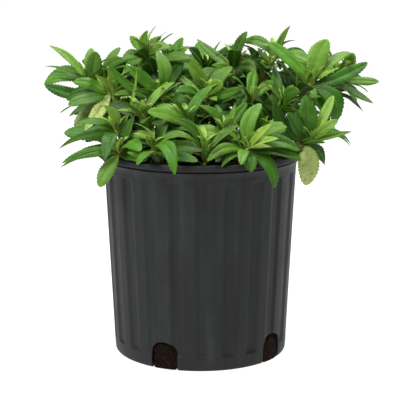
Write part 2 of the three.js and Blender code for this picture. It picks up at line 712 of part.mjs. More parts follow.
const pot = potSolid();
const mix = mixSolid();
addPiece('pot', pot, potPlastic);
addPiece('potting_mix', mix, barkMix);
growShoots(boxed(pot.add(mix), -1)).forEach(({ name, solid }, index) => {
  const leafGreen = new THREE.MeshStandardMaterial({
    color: greens[index % greens.length], roughness: 0.55, metalness: 0,
  });
  addPiece(name, solid, leafGreen);
});

export default plant;
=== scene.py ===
# Potted spiked speedwell before it flowers: a nursery pot, bark mix and a mat of leafy shoots.
# Everything is in metres in the CAD frame; the sizes below are in millimetres and are scaled by mm.
import bmesh
import bpy
import math
import numpy as np
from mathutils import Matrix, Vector, noise
from mathutils.kdtree import KDTree


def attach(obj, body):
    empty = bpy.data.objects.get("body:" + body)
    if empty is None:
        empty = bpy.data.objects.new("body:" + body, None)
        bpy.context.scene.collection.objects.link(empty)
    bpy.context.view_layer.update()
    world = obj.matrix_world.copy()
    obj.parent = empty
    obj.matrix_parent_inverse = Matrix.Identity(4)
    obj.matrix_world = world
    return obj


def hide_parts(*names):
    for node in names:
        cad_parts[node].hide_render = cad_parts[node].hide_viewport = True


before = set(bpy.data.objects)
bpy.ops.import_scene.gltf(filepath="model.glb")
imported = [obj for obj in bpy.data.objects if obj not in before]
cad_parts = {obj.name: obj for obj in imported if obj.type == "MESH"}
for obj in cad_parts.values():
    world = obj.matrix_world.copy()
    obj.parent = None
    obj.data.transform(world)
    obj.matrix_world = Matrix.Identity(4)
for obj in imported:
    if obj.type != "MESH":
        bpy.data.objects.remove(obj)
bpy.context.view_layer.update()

mm = 0.001
scene = bpy.context.scene


def linearColour(hexColour):
    channels = [int(hexColour[i:i + 2], 16) / 255 for i in (1, 3, 5)]
    return tuple(c / 12.92 if c <= 0.04045 else ((c + 0.055) / 1.055) ** 2.4 for c in channels) + (1.0,)


def addNode(tree, kind, settings=None, inputs=None, stops=()):
    # settings are the node's own properties; inputs are values, or what to link: a node for its first
    # output, or a (node, output) pair; stops are a colour ramp's (place, sRGB hex) pairs
    node = tree.nodes.new("ShaderNode" + kind)
    for key, value in (settings or {}).items():
        setattr(node, key, value)
    for key, value in (inputs or {}).items():
        source = value if isinstance(value, tuple) else (value, 0)
        if isinstance(source[0], bpy.types.Node):
            tree.links.new(source[0].outputs[source[1]], node.inputs[key])
        else:
            node.inputs[key].default_value = value
    for i, (place, hexColour) in enumerate(stops):
        elements = node.color_ramp.elements
        element = elements[i] if i < 2 else elements.new(place)    # a new ramp has two
        element.position, element.color = place, linearColour(hexColour)
    return node


def newMaterial(name):
    material = bpy.data.materials.new(name)
    material.use_nodes = True
    tree = material.node_tree
    tree.nodes.clear()
    return material, tree, addNode(tree, "TexCoord")


def marks(place, sizeMm, **more):
    # the inputs of a texture whose marks are sizeMm across on the object
    return {"Vector": (place, "Object"), "Scale": 1000 / sizeMm, **more}


def finishSurface(tree, look, colour, height, roughness=None):
    # the relief and the shader that every material without light passing through it ends in
    bump = addNode(tree, "Bump", inputs={
        "Strength": look["bump"], "Distance": look["bumpMm"] * mm, "Height": height})
    shader = addNode(tree, "BsdfPrincipled", inputs={
        "Base Color": colour, "Roughness": roughness or look["roughness"], "IOR": look["ior"],
        "Specular IOR Level": look["specular"], "Normal": bump})
    addNode(tree, "OutputMaterial", inputs={"Surface": shader})


def makePiece(name, vertices, faces, materials, faceMaterials=None, smooth=True):
    mesh = bpy.data.meshes.new(name)
    mesh.from_pydata(vertices, [], faces)
    for material in materials:
        mesh.materials.append(material)
    if faceMaterials is not None:
        mesh.polygons.foreach_set("material_index", np.asarray(faceMaterials, dtype=np.int32))
    mesh.polygons.foreach_set("use_smooth", np.full(len(mesh.polygons), smooth))
    mesh.update()
    piece = bpy.data.objects.new(name, mesh)
    scene.collection.objects.link(piece)
    return piece


def ringFaces(rings, count, first=0, reverse=False):
    # the quads between rings of count points each; reverse turns them to face the other way
    faces = []
    for low in range(first, first + (rings - 1) * count, count):
        for i in range(count):
            near, far = (i, (i + 1) % count) if not reverse else ((i + 1) % count, i)
            faces.append((low + near, low + far, low + count + far, low + count + near))
    return faces


def closedTube(rings, count, first=0, reverse=False):
    # the same with a flat cap at both ends
    start = list(range(first, first + count))
    end = [(rings - 1) * count + corner for corner in start]
    caps = [start[::-1], end] if not reverse else [start, end[::-1]]
    return ringFaces(rings, count, first, reverse) + [tuple(cap) for cap in caps]


def makeRepeatable(start):
    # the same small random number generator that the solids use, 0 to 1
    state = [start]

    def draw():
        state[0] = (state[0] * 16807) % 2147483647
        return state[0] / 2147483647
    return draw


def between(draw, span):
    # a drawn value in a (least, most) span, or a fixed one as it is
    return span[0] + (span[1] - span[0]) * draw() if isinstance(span, tuple) else span


# Pot
potSizes = {
    "height": 165, "rimRadius": 82.5, "wallRadiusTop": 77.7, "wallRadiusBase": 69.7,
    "cornerRadius": 2.2, "wall": 2.2, "floorThickness": 2.4, "beadDepth": 5.4, "sharpDegrees": 38,
    "fluteCount": 22, "fluteDepth": 1.5, "fluteShare": 0.43, "fluteBottom": 12, "fluteTop": 150,
    "firstFlute": -88.3, "fluteEdge": 0.2, "fluteEnd": 2, "fluteRows": 34,
    "drainWidth": 22, "drainHeight": 22.5, "drainCrown": 0.8, "drainBearings": (246, 324, 66, 144),
    "seamBearings": (253.3, 73.3), "seamHeight": 0.22, "seamHalf": 0.32, "seamTop": 159,
    # the rim in section, as (out from the wall below the bead, up from the bead's foot)
    "groove": ((0.3, -3.6), (1.0, -2.4), (1.6, -1.5), (1.7, -1.1), (1.5, -0.8), (0.75, -0.6),
               (0.7, -0.1), (0.9, 0.15)),
    # the bead's rounded edges: in from the rim, up from the bead's foot, radius, first and last angle, points
    "beadEdges": ((0.8, 1.9, 0.8, -70, 0, 4), (1.8, 4.0, 1.4, 5, 90, 6), (4.6, 4.5, 0.9, 90, 180, 5)),
}


def wallRadiusAt(z):
    size = potSizes
    return size["wallRadiusBase"] + (size["wallRadiusTop"] - size["wallRadiusBase"]) * z / size["height"]


def arcPoints(centre, radius, start, end, count):
    # points on an arc in the profile's plane, angles in degrees
    angles = np.radians(np.linspace(start, end, count))
    return [(centre[0] + radius * math.cos(a), centre[1] + radius * math.sin(a)) for a in angles]


def potProfile():
    # the section from the middle of the underside, up the outside, over the rim and down inside
    size = potSizes
    rim, corner, base, wall = size["rimRadius"], size["cornerRadius"], size["wallRadiusBase"], size["wall"]
    floor, bottom, top = size["floorThickness"], size["fluteBottom"], size["fluteTop"]
    beadFoot = size["height"] - size["beadDepth"]
    endRows = np.linspace(-size["fluteEnd"] / 2, size["fluteEnd"] / 2, 5)
    rows = [5, 8, 9.8, *(bottom + endRows), *np.linspace(bottom + 5, top - 5, size["fluteRows"])]
    rows += [*(top + endRows), 151.8, 153.5]
    points = [(0, 0), (30, 0), (base - corner - 5, 0)]
    points += arcPoints((base - corner, corner), corner, -90, 0, 7)
    points += [(wallRadiusAt(z), z) for z in rows]
    points += [(wallRadiusAt(beadFoot) + out, beadFoot + up) for out, up in size["groove"]]
    points += [(rim - 1.4, beadFoot + 0.75), (rim - 0.5, beadFoot + 1.1)]
    for inward, up, *arc in size["beadEdges"]:
        points += arcPoints((rim - inward, beadFoot + up), *arc)
    points += [(wallRadiusAt(at) - wall, z) for at, z in ((153, 154), (140, 140), (60, 60), (0, floor + 3))]
    return points + [(base - wall - 3, floor), (0, floor)]


def smoothStep(value):
    value = np.clip(value, 0, 1)
    return value * value * (3 - 2 * value)


def awayFrom(angle, bearing):
    # how far round an angle is from a bearing, in degrees
    return abs((angle - bearing + 180) % 360 - 180)


def buildPot(materials):
    size = potSizes
    pitch = 360 / size["fluteCount"]
    half = size["fluteShare"] / 2
    edge = size["fluteEdge"]
    steps = [-0.5, -0.4, -0.31, *(-half + edge * part for part in (-0.5, -0.25, 0, 0.25, 0.5)), -0.09]
    steps += [0] + [-step for step in reversed(steps[1:])]
    bearings = [size["firstFlute"] + pitch * (i + step) for i in range(size["fluteCount"]) for step in steps]
    for seam in size["seamBearings"]:
        bearings += [seam + offset for offset in (-0.32, -0.14, 0, 0.14, 0.32)]
    bearings = np.array(sorted(b % 360 for b in bearings))
    phase = ((bearings - size["firstFlute"]) / pitch + 0.5) % 1 - 0.5
    inFlute = smoothStep((half + edge / 2 - np.abs(phase)) / edge)
    onSeam = np.zeros(len(bearings))
    for seam in size["seamBearings"]:
        onSeam = np.maximum(onSeam, smoothStep(1 - awayFrom(bearings, seam) / size["seamHalf"]))
    profile = potProfile()
    outerRows = next(i for i, (r, z) in enumerate(profile) if z >= size["height"] - 1e-6)
    rings = profile[1:-1]
    vertices = [(0, 0, 0)]
    for row, (radius, z) in enumerate(rings):
        outside = row < outerRows
        inside = min(z - size["fluteBottom"], size["fluteTop"] - z) / size["fluteEnd"] + 0.5
        depth = size["fluteDepth"] * float(smoothStep(inside)) if outside else 0
        seam = size["seamHeight"] if outside and size["cornerRadius"] < z < size["seamTop"] else 0
        radii = radius - depth * inFlute + seam * onSeam
        vertices += [(r * math.cos(b), r * math.sin(b), z) for b, r in zip(np.radians(bearings), radii)]
    vertices.append((0, 0, size["floorThickness"]))
    count, last = len(bearings), len(vertices) - 1
    faces = ringFaces(len(rings), count, 1)
    for i in range(count):
        j = (i + 1) % count
        faces += [(0, 1 + j, 1 + i), (last, last - count + i, last - count + j)]
    pot = makePiece("pot_body", [(x * mm, y * mm, z * mm) for x, y, z in vertices], faces, materials)
    cutDrains(pot)
    markSharp(pot, size["sharpDegrees"])
    return pot


def cutDrains(pot):
    # arched openings through the wall that run out at the foot, joined into one cutter
    size = potSizes
    half = size["drainWidth"] / 2
    crown = size["drainCrown"] * half
    outline = [(-half, -3), (half, -3)]
    outline += [(half * math.cos(a), size["drainHeight"] - crown + crown * math.sin(a))
                for a in np.radians(np.linspace(0, 180, 17))]
    vertices, faces = [], []
    for bearing in np.radians(size["drainBearings"]):
        faces += closedTube(2, len(outline), len(vertices))
        for reach in (size["wallRadiusBase"] - 9, size["wallRadiusBase"] + 9):
            for across, z in outline:
                x = reach * math.cos(bearing) - across * math.sin(bearing)
                y = reach * math.sin(bearing) + across * math.cos(bearing)
                vertices.append((x * mm, y * mm, z * mm))
    cutter = makePiece("drain_cutter", vertices, faces, [])
    cut = pot.modifiers.new("drains", "BOOLEAN")
    cut.operation = "DIFFERENCE"
    cut.solver = "EXACT"
    cut.object = cutter
    bpy.context.view_layer.update()
    evaluated = pot.evaluated_get(bpy.context.evaluated_depsgraph_get())
    mesh = bpy.data.meshes.new_from_object(evaluated)
    pot.modifiers.clear()
    pot.data = mesh
    bpy.data.objects.remove(cutter)


def markSharp(piece, degrees):
    # edges that turn more than this stay crisp, and the rest shade smooth
    work = bmesh.new()
    work.from_mesh(piece.data)
    for edge in work.edges:
        edge.smooth = len(edge.link_faces) != 2 or edge.calc_face_angle(0) < math.radians(degrees)
    for face in work.faces:
        face.smooth = True
    work.to_mesh(piece.data)
    work.free()


def mouldedPolyethylene():
    # Blow-moulded polyethylene: charcoal, satin, with a fine pebble from the mould and a dusty film
    # that lightens the flats a little and collects at the foot. The real pebble is about 0.2 mm, too
    # fine to show, so the grain is drawn coarser.
    look = {
        "deep": "#1b1c1b", "body": "#262928", "dust": "#3b3c38", "specular": 0.22, "ior": 1.51,
        "roughness": (0.49, 0.65), "grainMm": 0.9, "scuffMm": 26, "streakMm": 9, "streakLength": 0.06,
        "footMm": 30, "footDust": 0.22, "bump": 0.18, "bumpMm": 0.2,
    }
    material, tree, place = newMaterial("blow-moulded polyethylene")
    scuffs = addNode(tree, "TexNoise", inputs=marks(place, look["scuffMm"], Detail=5.0, Roughness=0.62))
    stretched = addNode(tree, "Mapping", inputs={
        "Vector": (place, "Object"), "Scale": (1.0, 1.0, look["streakLength"])})
    streaks = addNode(tree, "TexNoise", inputs={
        "Vector": stretched, "Scale": 1000 / look["streakMm"], "Detail": 3.0})
    worn = addNode(tree, "Math", {"operation": "MULTIPLY"}, {0: scuffs, 1: streaks})
    colour = addNode(tree, "ValToRGB", inputs={0: worn}, stops=[
        (0.12, look["deep"]), (0.32, look["body"]), (0.62, look["dust"])])
    height = addNode(tree, "SeparateXYZ", inputs={0: (place, "Object")})
    foot = addNode(tree, "MapRange", inputs={
        "Value": (height, 2), "From Min": 0.0, "From Max": look["footMm"] * mm, "To Min": look["footDust"],
        "To Max": 0.0})
    dusty = addNode(tree, "Math", {"operation": "MULTIPLY"}, {0: foot, 1: scuffs})
    withDust = addNode(tree, "Mix", {"data_type": "RGBA"}, {
        0: dusty, 6: colour, 7: linearColour(look["dust"])})
    grain = addNode(tree, "TexNoise", inputs=marks(place, look["grainMm"], Detail=2.0))
    smooth, rough = look["roughness"]
    roughness = addNode(tree, "MapRange", inputs={
        "Value": scuffs, "From Min": 0.3, "From Max": 0.7, "To Min": smooth, "To Max": rough})
    finishSurface(tree, look, (withDust, 2), grain, roughness)
    return material


# Potting mix
mixSizes = {
    "level": 150, "crown": 2.5, "gap": 0.65, "lumpMm": 7, "crumbMm": 2.2, "lump": 1.6, "crumb": 0.9,
    "rings": 46, "around": 200, "below": 0.2, "settle": 0.6, "smoothRim": 6,
    # pressed out into the drain slots, and down to the ground
    "slotHalf": 8.8, "slotStraight": 13, "slotArch": 8, "slotBottom": 0.3, "slotPress": 2.1, "slotReach": 6,
}
chipSizes = {
    "seed": 4711, "count": 420, "length": (4, 11), "width": (1.2, 3.4), "thick": (0.5, 1.4),
    "tilt": (-0.25, 0.25), "clear": 5, "over": 3, "shortest": 3, "sink": 0.4,
    # each ring's place along the chip and its share of the width, and each corner across and up
    "rings": ((-0.5, 0.35), (-0.2, 1.0), (0.25, 0.9), (0.5, 0.25)),
    "corners": ((-1, 0), (0, 1), (1, 0.1), (0.1, -1)),
}


def mixRadiusAt(z):
    return wallRadiusAt(z) - potSizes["wall"] - mixSizes["gap"]


def pressOut(place, angle, radius, low):
    # moves a point that faces a drain slot out into it, and its lowest row down to the ground
    size = mixSizes
    off = min(awayFrom(math.degrees(angle), bearing) for bearing in potSizes["drainBearings"])
    above = max(0, place.z - size["slotStraight"]) / size["slotArch"]
    inSlot = 1 - (off / size["slotHalf"]) ** 2 - above ** 2
    if inSlot > 0 and radius > mixRadiusAt(low) - size["slotReach"]:
        out = size["slotPress"] * min(1, 3 * inSlot)
        if place.z < low + 0.1:
            place.z = size["slotBottom"]
            out += mixRadiusAt(low) - radius
        place.x *= 1 + out / radius
        place.y *= 1 + out / radius


def buildMix(materials):
    # a rough body of bark and peat, held in by the pot, that shows at the top and in the drain slots
    size = mixSizes
    low = potSizes["floorThickness"] + size["gap"]
    # rows from the middle of the underside to the middle of the top: radius, height, roughness
    rows = [(mixRadiusAt(low) * share - 4 * share, low, 0.2) for share in (0.4, 0.8, 1.0)]
    rows += [(mixRadiusAt(z) - size["below"], z, 0.5) for z in np.linspace(low + 2.5, 34, 22)]
    rows += [(mixRadiusAt(z) - size["below"], z, 0.3) for z in np.linspace(50, size["level"] - 3, 8)]
    rows += [(mixRadiusAt(size["level"]) * share - size["below"],
              size["level"] - 1 + size["crown"] * (1 - share * share), 1.0)
             for share in np.linspace(1.0, 0.03, size["rings"])]
    vertices = []
    for radius, z, rough in rows:
        for i in range(size["around"]):
            angle = 2 * math.pi * i / size["around"]
            place = Vector((radius * math.cos(angle), radius * math.sin(angle), z))
            relief = noise.noise(place / size["lumpMm"]) * size["lump"] \
                + noise.noise(place / size["crumbMm"]) * size["crumb"]
            pressOut(place, angle, radius, low)
            if rough == 1.0:
                inner = min(1, (mixRadiusAt(size["level"]) - radius) / size["smoothRim"])
                place.z += relief * (0.35 + 0.65 * inner) - size["settle"]
            else:
                inward = abs(relief) * rough + 0.1
                place.x *= 1 - inward / max(radius, 10)
                place.y *= 1 - inward / max(radius, 10)
            vertices.append(tuple(place * mm))
    return makePiece("mix_surface", vertices, closedTube(len(rows), size["around"]), materials)


def buildChips(materials):
    # shreds of bark lying flat on the mix, each a bent, tapered sliver sunk a little into it
    size = chipSizes
    draw = makeRepeatable(size["seed"])
    level, crown = mixSizes["level"], mixSizes["crown"]
    vertices, faces, kinds = [], [], []
    reach = wallRadiusAt(level) - potSizes["wall"] - size["clear"]
    for chip in range(size["count"]):
        radius = reach * math.sqrt(draw())
        angle = 2 * math.pi * draw()
        length = size["length"][0] + (size["length"][1] - size["length"][0]) * draw() ** 2
        width = between(draw, size["width"])
        thick = between(draw, size["thick"])
        turn = 2 * math.pi * draw()
        tilt = between(draw, size["tilt"])
        centre = Vector((radius * math.cos(angle), radius * math.sin(angle), 0))
        centre.z = level - size["sink"] + crown * (1 - (radius / reach) ** 2) + 0.5 * draw()
        if radius + length / 2 > reach + size["over"]:
            length = max(size["shortest"], 2 * (reach + size["over"] - radius))
        along = Vector((math.cos(turn) * math.cos(tilt), math.sin(turn) * math.cos(tilt), math.sin(tilt)))
        across = Vector((-math.sin(turn), math.cos(turn), 0.3 * (draw() - 0.5))).normalized()
        up = along.cross(across)
        tube = closedTube(len(size["rings"]), len(size["corners"]), len(vertices))
        faces += tube
        kinds += [chip % len(materials)] * len(tube)
        for share, full in size["rings"]:
            middle = centre + along * (share * length) + up * (0.4 * draw())
            for side, rise in size["corners"]:
                spread = width / 2 * full * between(draw, (0.8, 1.2))
                vertices.append(tuple((middle + across * (side * spread) + up * (rise * thick / 2)) * mm))
    return makePiece("bark_chips", vertices, faces, materials, kinds, smooth=False)


def patchyMaterial(name, look):
    # patches of three colours from noise; bark is darkened between its fibres, and a stem is greener
    # where it is young
    material, tree, place = newMaterial(name)
    patches = addNode(tree, "TexNoise", inputs=marks(place, look["patchMm"], **look["noise"]))
    level = patches
    if "youthOver" in look:
        youth = addNode(tree, "Attribute", {"attribute_name": "youth", "attribute_type": "GEOMETRY"})
        level = addNode(tree, "Math", {"operation": "MULTIPLY_ADD"}, {
            0: patches, 1: look["youthOver"], 2: (youth, "Fac")})
    colour = addNode(tree, "ValToRGB", inputs={0: level}, stops=look["stops"])
    if "fibreMm" in look:
        fibres = addNode(tree, "TexVoronoi", inputs=marks(place, look["fibreMm"]))
        shaded = addNode(tree, "Mix", {"data_type": "RGBA", "blend_type": "MULTIPLY"}, {
            0: look["fibres"], 6: colour, 7: (fibres, 1)})
        colour = (shaded, 2)
    finishSurface(tree, look, colour, patches)
    return material


# Composted pine bark: dull, crumbly and nearly black where it is damp.
compostedBark = {
    "stops": [(0.3, "#0a0603"), (0.5, "#1c120a"), (0.7, "#38261a")], "patchMm": 3.5,
    "noise": {"Detail": 6.0, "Roughness": 0.68}, "fibreMm": 4.5, "fibres": 0.55, "roughness": 0.95,
    "ior": 1.4, "specular": 0.15, "bump": 0.8, "bumpMm": 1.2,
}
# Shredded pine bark: freshly broken, so paler and redder, with finer fibres.
shreddedBark = dict(
    compostedBark, stops=[(0.3, "#20140c"), (0.55, "#452e1d"), (0.75, "#7a5c3e")], patchMm=2.2, fibreMm=3,
    roughness=0.85)


# Each shoot: name, root, tip, turn, first pair, pairs, the leaves that face the viewer and the inner
# ones. A leaf is (distance below the tip, bearing, rise, length, width, arch), as in the solids, and
# an inner one only the first three, of one common size unless it is marked as short. The tips were read
# from the picture. A search outside this script then moved the leaves that face the viewer, so that the
# outline follows the picture's, and another search picked the inner ones.
shoots = (
    ("left_high", (-46, 6), (-92, 8, 220), 95, 14, 2,
     ((0, 165, 40, 42, 8, 0.05), (0, -168, 66, 17, 3.5, 0), (2, 87, 59, 30, 11, 0.01),
      (3, -47, 72, 27, 14.5, -0.04), (4, 177, -1, 38, 17, 0.21), (5, 150, 22, 34, 7.5, 0.05),
      (12, -169, 7, 43, 12, -0.1)),
     ((49, -150, -20, "short"), (54, 135, -5))),
    ("left_middle", (-44, -14), (-73, -16, 213), 20, 16, 2,
     ((0, -150, 84, 21, 7.5, 0.22), (0, -7, -2, 19, 8, 0.07), (2, -172, 21, 31, 11, 0.1),
      (3, -156, -8, 36, 13, 0.03), (4, -113, -60, 39, 18.5, 0.04), (8, -167, -31, 38, 16.5, 0.02),
      (11, -163, -15, 41, 9, 0.1)),
     ((19, 90, 10), (4, 165, -5), (29, -165, -20))),
    ("left_low", (-50, -34), (-66, -44, 187), 60, 8, 2,
     ((0, -169, 65, 23, 9, 0.17), (0, 147, 56, 13, 5.5, 0.05), (2, 34, 70, 52, 3.5, -0.08),
      (3, 171, 0, 43, 15, -0.01), (4, -105, -22, 37, 12, 0.25), (3, -12, -3, 44, 8, 0.04)), ()),
    ("left_rim", (-52, -40), (-64, -52, 172), 30, 7, 1,
     ((0, -167, -9, 44, 9, 0.07), (1, -138, -51, 31, 13, 0.06), (0, -120, 67, 10, 8.5, 0.02),
      (2, -58, 12, 34, 13, 0.19), (2, -43, -11, 30, 13, 0.01)), ()),
    ("front_left", (-27, -58), (-37, -66, 178), 75, 8, 2,
     ((0, -60, -23, 38, 12.5, 0.29), (1, -6, 4, 36, 8.5, 0.26), (2, -27, -9, 38, 11, -0.03),
      (0, -137, 55, 12, 5.5, 0.05), (3, -158, 2, 23, 7, -0.1)), ()),
    ("front_middle", (14, -46), (19, -58, 189), 55, 9, 2,
     ((0, 0, 80, 13, 3.5, 0.02), (0, -38, 66, 24, 5.5, -0.05), (1, 177, 45, 30, 7, 0.18),
      (2, -46, -6, 16, 11, 0.05), (3, -173, 9, 23, 13, 0.05), (4, 170, 7, 41, 7.5, 0.05),
      (3, 9, 54, 30, 9.5, 0.02)), ()),
    ("front_right", (28, -54), (37, -68, 177), 40, 9, 1,
     ((0, 41, 70, 36, 13.5, 0.17), (0, 81, 61, 31, 10, 0.02), (0, -23, 32, 36, 12, 0.14),
      (1, -7, 1, 39, 12.5, 0.16), (2, -10, -8, 41, 12, 0.11), (3, -31, -46, 35, 13.5, 0.19),
      (3, -145, -5, 37, 9.5, 0.18), (4, -138, -17, 27, 6.5, 0.16), (4, -100, -9, 28, 9.5, 0.19),
      (5, -81, -25, 24, 13, 0.22)), ()),
    ("right_low", (56, -28), (87, -40, 179), 100, 12, 1,
     ((0, 27, 59, 39, 10, -0.02), (0, -32, 37, 29, 9.5, -0.01), (1, -19, 15, 34, 6.5, -0.01),
      (2, 28, -11, 40, 5, 0.2), (3, 11, -7, 36, 6.5, 0.29), (3, 124, 84, 36, 15.5, 0.08),
      (4, -162, 50, 43, 13.5, -0.15), (6, -85, -67, 33, 18, 0.34), (6, 22, -41, 24, 11, 0.13),
      (5, -132, 49, 35, 11, 0.03)), ()),
    ("right_middle", (50, 0), (91, -6, 221), 15, 14, 2,
     ((0, 35, 68, 35, 17.5, 0.08), (1, 23, 34, 40, 12, 0.09), (0, -28, 28, 25, 4.5, 0.02),
      (2, 168, 41, 48, 13, 0.03), (3, 5, 20, 48, 12.5, -0.08), (5, -24, -55, 37, 16.5, 0.3),
      (6, -67, -43, 18, 6.5, 0.21), (9, -28, -55, 34, 11, 0.12)), ()),
    ("right_high", (58, 18), (114, 12, 222), 10, 8, 3,
     ((0, -9, 62, 22, 12.5, -0.02), (0, -7, 32, 24, 5, -0.04), (1, -3, -5, 32, 9.5, -0.02),
      (3, -29, -29, 36, 7.5, -0.03)),
     ((19, 30, -5), (4, 105, 25), (24, 75, 25), (4, 30, -5, "short"))),
    ("top_right", (30, 14), (61, 14, 239), 0, 10, 3,
     ((0, -40, 60, 29, 6.5, 0.03), (1, 152, 21, 31, 10.5, 0.18), (2, -23, -4, 32, 11.5, 0.12),
      (3, 21, -16, 37, 6.5, 0.34), (4, 154, 7, 28, 4.5, -0.01)),
     ((4, 75, -20, "short"), (34, 120, 55))),
    ("top_middle", (18, 24), (29, 20, 229), 50, 13, 3,
     ((0, -10, 73, 31, 9.5, 0.1), (1, 153, 33, 42, 9, -0.02), (2, -44, 0, 23, 11.5, 0.26),
      (3, -149, 16, 23, 7, 0.07)),
     ((4, -90, 25), (54, 75, -5))),
    ("centre", (3, -12), (5, -22, 213), 70, 9, 3,
     ((0, -166, 59, 28, 14.5, 0.06), (1, -41, 33, 20, 12, 0.1), (2, 5, 49, 31, 12, 0.05),
      (2, 152, 32, 42, 6.5, -0.03), (3, -34, 17, 35, 10, -0.03), (4, -73, 5, 27, 7.5, 0.05)),
     ((29, 45, -5),)),
    ("centre_left", (-22, -20), (-32, -20, 213), 60, 11, 3,
     ((0, 134, 84, 34, 12, 0.26), (1, 40, 47, 34, 11.5, 0.01), (0, -51, 26, 12, 4.5, 0.05),
      (3, -39, -7, 33, 9, 0.1), (2, -170, 42, 36, 11, 0.02), (4, 179, 34, 48, 9, -0.15),
      (5, -151, -35, 48, 12, 0.22)), ()),
    ("top_left", (-24, 12), (-44, 5, 242), 60, 8, 3,
     ((0, -39, 84, 19, 7.5, 0.19), (0, 167, 47, 19, 9.5, -0.03), (0, 22, 46, 19, 8.5, 0.07),
      (2, -172, -7, 20, 11.5, 0.13), (2, -23, 20, 22, 9.5, 0.17), (3, -118, -32, 19, 5.5, -0.01)),
     ((9, -30, 10), (64, 105, -5))),
    ("left_back", (-46, 28), (-81, 28, 217), 120, 4, 3,
     ((0, 16, 61, 31, 9.5, 0.06), (1, -17, 41, 29, 11, 0.21)),
     ((14, 180, -5), (19, 180, -20), (4, 150, 40, "short"), (4, 90, 10), (19, 105, -20), (19, -15, 40))),
    ("back_left", (-14, 36), (-23, 26, 233), 80, 6, 3,
     ((0, -16, 41, 20, 7, 0.11), (1, -131, 38, 17, 10, 0.1), (2, -37, 15, 20, 9, 0.1)),
     ((9, 180, 25), (19, 105, 55))),
    ("back_middle", (6, 46), (5, 36, 225), 20, 4, 3,
     ((1, -173, 37, 24, 7.5, 0.08),),
     ((4, -120, 40), (4, 105, 40), (4, -15, 40))),
    ("front_low", (-6, -40), (-11, -48, 196), 35, 6, 3,
     ((3, -150, 11, 34, 12.5, 0.05), (2, 158, 26, 32, 9, 0.08)), ()),
    ("inner_left", (-34, -38), (-46, -40, 200), 25, 6, 3,
     ((1, 12, 44, 36, 9, 0.08), (3, -10, -20, 37, 11, 0.04)), ()),
    ("inner_right", (26, -22), (41, -28, 208), 65, 3, 3,
     ((1, 36, 16, 36, 9, 0.22),), ()),
    ("right_inner", (42, -22), (66, -26, 204), 20, 5, 3,
     ((2, 150, 30, 28, 7.5, 0.05), (3, -46, 41, 25, 12.5, 0.2)), ()),
    ("low_middle", (4, -64), (3, -68, 177), 25, 2, 2,
     ((1, 162, -3, 40, 12, 0.11), (1, 28, -6, 38, 11, 0.12)), ()),
    ("low_left", (-36, -8), (-42, -14, 184), 70, 2, 2, (), ()),
    ("low_centre", (-10, 6), (-12, -2, 190), 15, 2, 3, (), ()),
    ("low_right", (34, -40), (48, -48, 184), 80, 2, 3, (), ()),
    ("rim_back_left", (-36, 54), (-46, 70, 180), 35, 2, 2, (),
     ((9, 105, 10),)),
    ("rim_back_middle", (0, 66), (2, 80, 178), 20, 2, 2, (),
     ((4, 15, 10),)),
    ("rim_back_right", (38, 54), (50, 68, 182), 70, 2, 2, (), ()),
    ("rim_right", (64, 4), (77, 4, 181), 75, 2, 2, (),
     ((4, 15, -5),)),
    ("back_far_left", (-38, 50), (-60, 60, 216), 130, 6, 4, (),
     ((19, 90, -20), (4, 75, -20), (49, 180, 10), (19, 90, 40), (49, 150, 10))),
    ("back_low", (-14, 60), (-24, 72, 214), 100, 6, 4, (),
     ((4, 30, 40), (14, 120, 25), (29, 135, -20), (4, 60, -5))),
    ("back_far", (14, 62), (20, 74, 213), 80, 6, 4, (),
     ((19, 75, 25), (9, 15, 40), (14, 60, 25))),
    ("back_right", (34, 42), (52, 56, 220), 50, 6, 5, (), ()),
    ("back_far_right", (48, 46), (80, 62, 212), 40, 6, 4, (),
     ((14, 90, -5), (9, 90, -5), (4, 105, 10), (29, 75, 10), (14, 0, 10), (44, -60, 10, "short"))),
    ("right_back", (60, 30), (94, 38, 214), 15, 5, 4, (),
     ((14, -30, -20), (4, -120, 25), (9, 30, -20))),
)
innerBlades = {"long": (38, 13.5, 0.1), "short": (30, 11, 0.1)}    # length, width and arch


# How far some of those leaves are from the ordinary green, by their place in a shoot's list: 1 is as
# lime as the youngest leaf, and the faded ones are old leaves that have yellowed and spotted.
limeLeaves = {
    "left_high": {0: 0.55, 1: 0.8, 3: 0.25, 2: 0.2}, "left_middle": {0: 0.5, 1: 0.3},
    "left_low": {0: 0.6, 1: 0.9, 2: 0.6, 5: 0.4}, "left_rim": {1: 0.3, 2: 0.5}, "front_left": {3: 0.6},
    "front_middle": {0: 0.6, 3: 0.3, 4: 0.65}, "front_right": {0: 0.12, 1: 0.2, 2: 0.45},
    "right_low": {0: 0.6, 1: 0.4, 2: 0.5}, "right_middle": {0: 0.2, 1: 0.5, 2: 0.4},
    "right_high": {0: 0.5, 1: 0.7}, "top_right": {0: 0.6, 1: 0.15}, "centre": {0: 0.3, 2: 0.25},
    "centre_left": {0: 0.25}, "top_left": {0: 0.5, 1: 0.3, 2: 0.3}, "left_back": {0: 0.2},
}
fadedLeaves = {"right_low": {7: 1.0}, "left_middle": {5: 0.5}}

